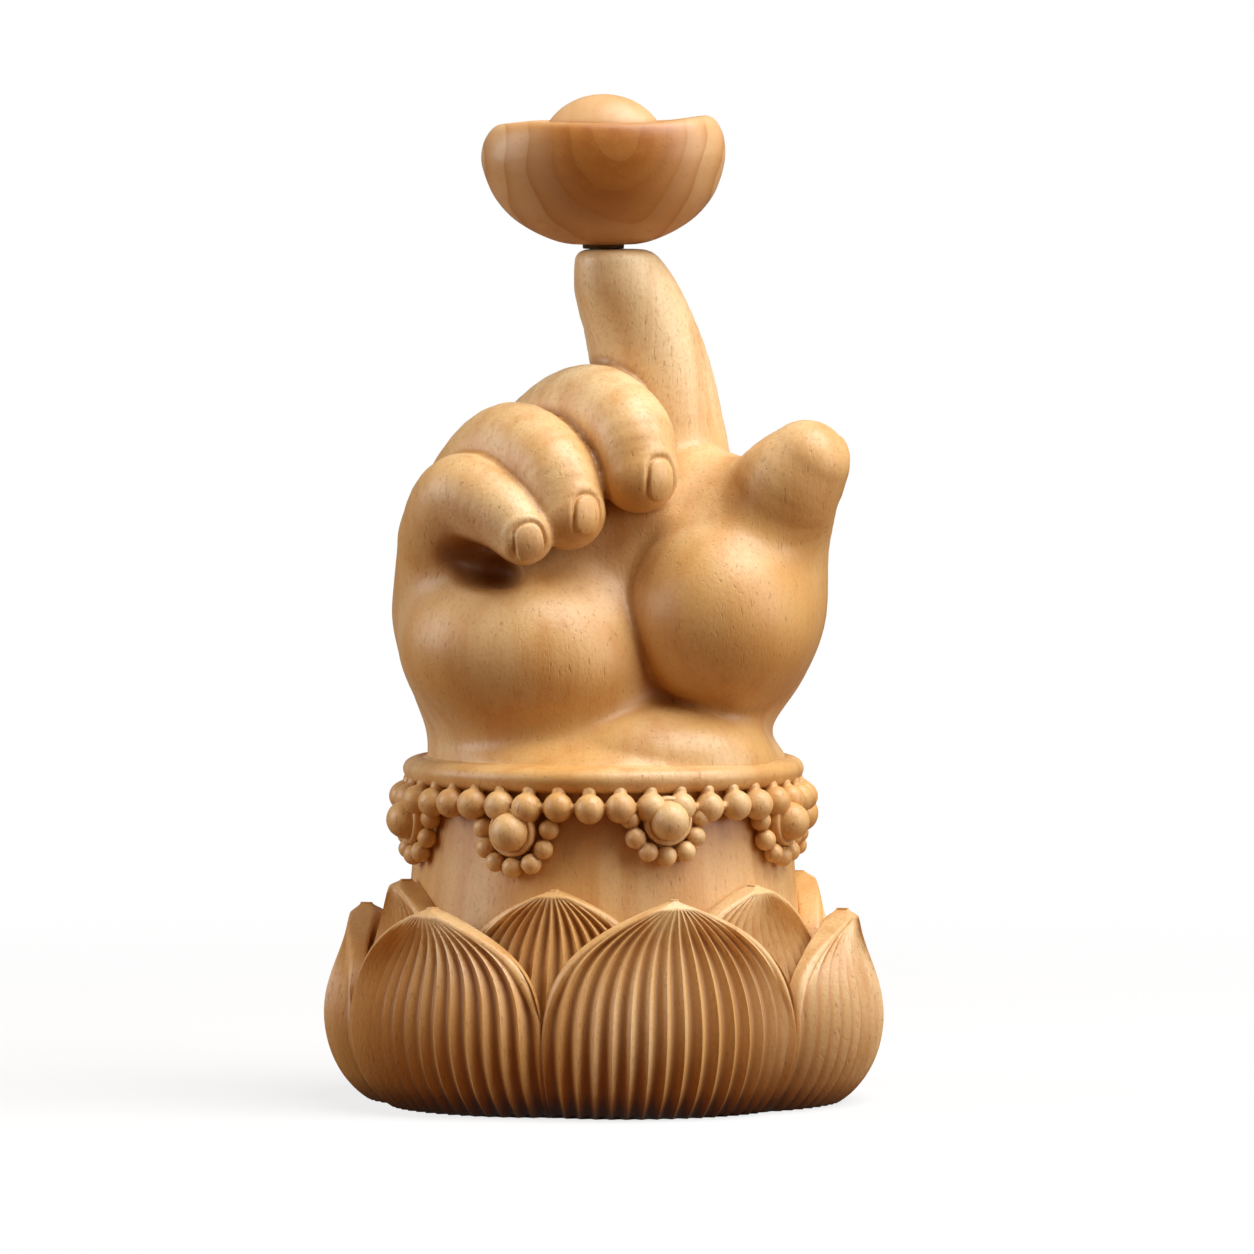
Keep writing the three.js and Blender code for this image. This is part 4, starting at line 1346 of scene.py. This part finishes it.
class ORNAMENT_OT_carve_ingot(Operator):
    """Carves the boat-shaped ingot and the dome in its hollow, and turns the cup that it pivots on"""

    bl_idname = "ornament.carve_ingot"
    bl_label = "Carve Ingot"

    def execute(self, context):
        low, high = box_of("pivot_cup")
        radius = (high[0] - low[0]) / 2
        boat = self.boat(radius + CUP_GLUE_LINE, high[2] + CUP_GLUE_LINE)
        finish_piece(boat, "ingot_wood", "ingot_boat")
        rise = CROWN_TOP - CROWN_FOOT
        dome = []
        for angle in np.linspace(-10, 88, 24):
            share = math.cos(math.radians(angle))
            height = CROWN_FOOT + rise * math.sin(math.radians(angle))
            dome.append((CROWN_LENGTH * share, CROWN_WIDTH * share, height, 0))
        crown = wrapped("ingot_crown_carved", oval_rows(dome))
        finish_piece(crown, "ingot_wood", "ingot_crown")
        # The flange hangs down into the gap over the fingertip, where its dark brass stands in for painted
        # shade.
        flange = low[2] - CUP_OVERHANG
        bore = [(0, high[2] - CUP_CAP), (PIN_BORE, high[2] - CUP_CAP), (PIN_BORE, flange)]
        wall = [(radius - 0.1, flange), (radius, flange + 0.1), (radius, high[2]), (0, high[2])]
        cup = spun("pivot_cup_turned", [*bore, *wall], steps=64)
        put_points(cup, points_of(cup) + np.array([0, BOAT_MIDDLE, 0]))
        finish_piece(cup, "cup_brass", "pivot_cup")
        return {"FINISHED"}

    def boat(self, bore, ceiling):
        """The boat, with a bore of this radius and top for the cup in its foot."""
        tall = BOAT_TOP - BOAT_FOOT
        rows = [(x * BOAT_LENGTH, y * BOAT_WIDTH, BOAT_FOOT + z * tall, rise) for x, y, z, rise in BOAT]
        skin = through(rows, steps=4)
        outside = skin[:, :2].min(1) > bore
        bore_rows = [(bore, bore, ceiling, 0), (bore, bore, skin[~outside][-1][2], 0)]
        hull = oval_rows([*bore_rows, *skin[outside]])
        upper = smoothstep(BOAT_FOOT + 0.4 * tall, BOAT_TOP, hull[..., 2])
        left = smoothstep(0.45, 1, -hull[..., 0] / BOAT_LENGTH)
        right = smoothstep(0.5, 0.9, hull[..., 0] / BOAT_LENGTH)
        hull[..., 2] += upper * (RIGHT_END_LIFT * right - LEFT_END_DROP * left)
        piece = wrapped("ingot_boat_carved", hull)
        # Patina and painted shade in the boat's hollow and creases.
        mark_recess(piece, spread=3, gain=1.4)
        return piece


# Stage, in metres

# Softboxes: the setting of their power, their place and their size.
SOFTBOXES = (
    ("top", (0.25, -0.11, 0.55), 0.44),
    ("right", (0.6, -0.22, 0.22), 0.42),
    ("left", (-0.61, -0.07, 0.27), 0.42),
)
LIT_POINT = Vector((0, 0, 0.06))
CAMERA_BACK = 1.4
CAMERA_DROP = 0.076
CAMERA_PLACE = (0.0026, -CAMERA_BACK, 0.128)
CAMERA_SENSOR = 36
VIEW_WIDTH = 0.1379

# The light that the white background throws on the wood: a share of it in gloss, and warm fill otherwise.
GLOSS_SHARE = 0.14
WARM_FLOOR = (0.13, 0.048, 0.009)
WARM_SKY = (1, 0.38, 0.07)
WHITE = (1, 1, 1)

# How much of the floor's glow is left close to the ornament, where its shadow shows.
NEAR_GLOW = 0.78


def add_softbox(name, place, size, power):
    """A square soft light that faces the middle of the ornament."""
    bpy.ops.object.light_add(type="AREA", location=place)
    lamp = bpy.context.object
    lamp.name = name
    lamp.data.shape = "SQUARE"
    lamp.data.size = size
    lamp.data.energy = power
    lamp.rotation_euler = (LIT_POINT - Vector(place)).to_track_quat("-Z", "Y").to_euler()


class ORNAMENT_OT_set_stage(Operator):
    """Sets the floor, the soft light and the camera"""

    bl_idname = "ornament.set_stage"
    bl_label = "Set Stage"

    def execute(self, context):
        lights = context.scene.ornament.lights
        context.scene.view_settings.view_transform = "Standard"
        choose()
        bpy.ops.mesh.primitive_plane_add(size=12, location=(0, 0, 0))
        floor = named("floor")
        floor.data.materials.append(self.floor_finish(lights.floor))
        self.light_sky(context, lights.sky)
        for side, place, size in SOFTBOXES:
            add_softbox(f"{side}_light", place, size, getattr(lights, side))
        bpy.ops.object.camera_add(location=CAMERA_PLACE)
        camera = bpy.context.object
        camera.name = "camera"
        camera.rotation_euler = (math.radians(90) - math.atan2(CAMERA_DROP, CAMERA_BACK), 0, 0)
        camera.data.sensor_width = CAMERA_SENSOR
        camera.data.lens = CAMERA_SENSOR * math.hypot(CAMERA_BACK, CAMERA_DROP) / VIEW_WIDTH
        camera.data.clip_start = 0.05
        camera.data.clip_end = 20
        context.scene.camera = camera
        return {"FINISHED"}

    def floor_finish(self, colour):
        """A floor that is nearly white to the camera, keeps the shadow and lights the wood warmly."""
        finish = Finish(bpy.data.materials.new("floor"))
        seen, through_glass, mirrored = finish.rays()
        tone = finish.mix(seen, WARM_FLOOR, colour)
        finish.fill({"Base Color": tone, "Roughness": 0.8, "Specular IOR Level": 0.0})
        glow = finish.node("ShaderNodeEmission", {}, {"Color": (*WHITE, 1), "Strength": 1.0})
        far = finish.step(finish.distance(finish.place()), 0.06, 0.3)
        share = (seen + through_glass + GLOSS_SHARE * mirrored) * (NEAR_GLOW + (1 - NEAR_GLOW) * far)
        lit = Value(finish.shader.outputs[0])
        shown = finish.node("ShaderNodeMixShader", {}, {0: share, 1: lit, 2: glow})
        feed(finish.tree.nodes["Material Output"].inputs["Surface"], shown)
        return finish.owner

    def light_sky(self, context, strength):
        """White to the camera, pale in reflections, and a soft warm light elsewhere."""
        context.scene.world = bpy.data.worlds.new("studio")
        sky = Finish(context.scene.world, "Background")
        seen, through_glass, mirrored = sky.rays()
        direct = seen + through_glass
        tone = sky.mix(direct + mirrored, WARM_SKY, WHITE)
        level = strength + (1 - strength) * (direct + GLOSS_SHARE * mirrored)
        sky.fill({"Color": tone, "Strength": level})


# Add-on


class ORNAMENT_PT_sidebar(Panel):
    """Lists the steps and settings of the ornament"""

    bl_idname = "ORNAMENT_PT_sidebar"
    bl_label = "Carved Hand Ornament"
    bl_space_type = "VIEW_3D"
    bl_region_type = "UI"
    bl_category = "Ornament"

    def draw(self, context):
        ornament = context.scene.ornament
        for step in STEPS:
            self.layout.operator(step.bl_idname)
        for group in (ornament.seat, ornament.garland, ornament.hand, ornament.finishes, ornament.lights):
            box = self.layout.box()
            for key in group.__annotations__:
                box.prop(group, key)


SETTINGS = (SeatSizes, GarlandSizes, HandSizes, Finishes, StageLights, Ornament)
STEPS = (
    ORNAMENT_OT_set_stage,
    ORNAMENT_OT_mix_finishes,
    ORNAMENT_OT_carve_seat,
    ORNAMENT_OT_turn_wrist,
    ORNAMENT_OT_string_garland,
    ORNAMENT_OT_carve_hand,
    ORNAMENT_OT_carve_ingot,
)
CLASSES = (*SETTINGS, *STEPS, ORNAMENT_PT_sidebar)


def register():
    for each in CLASSES:
        bpy.utils.register_class(each)
    bpy.types.Scene.ornament = PointerProperty(type=Ornament)


def unregister():
    del bpy.types.Scene.ornament
    for each in reversed(CLASSES):
        bpy.utils.unregister_class(each)


def main():
    register()
    for step in STEPS:
        group, name = step.bl_idname.split(".")
        getattr(getattr(bpy.ops, group), name)()


if __name__ == "__main__":
    main()
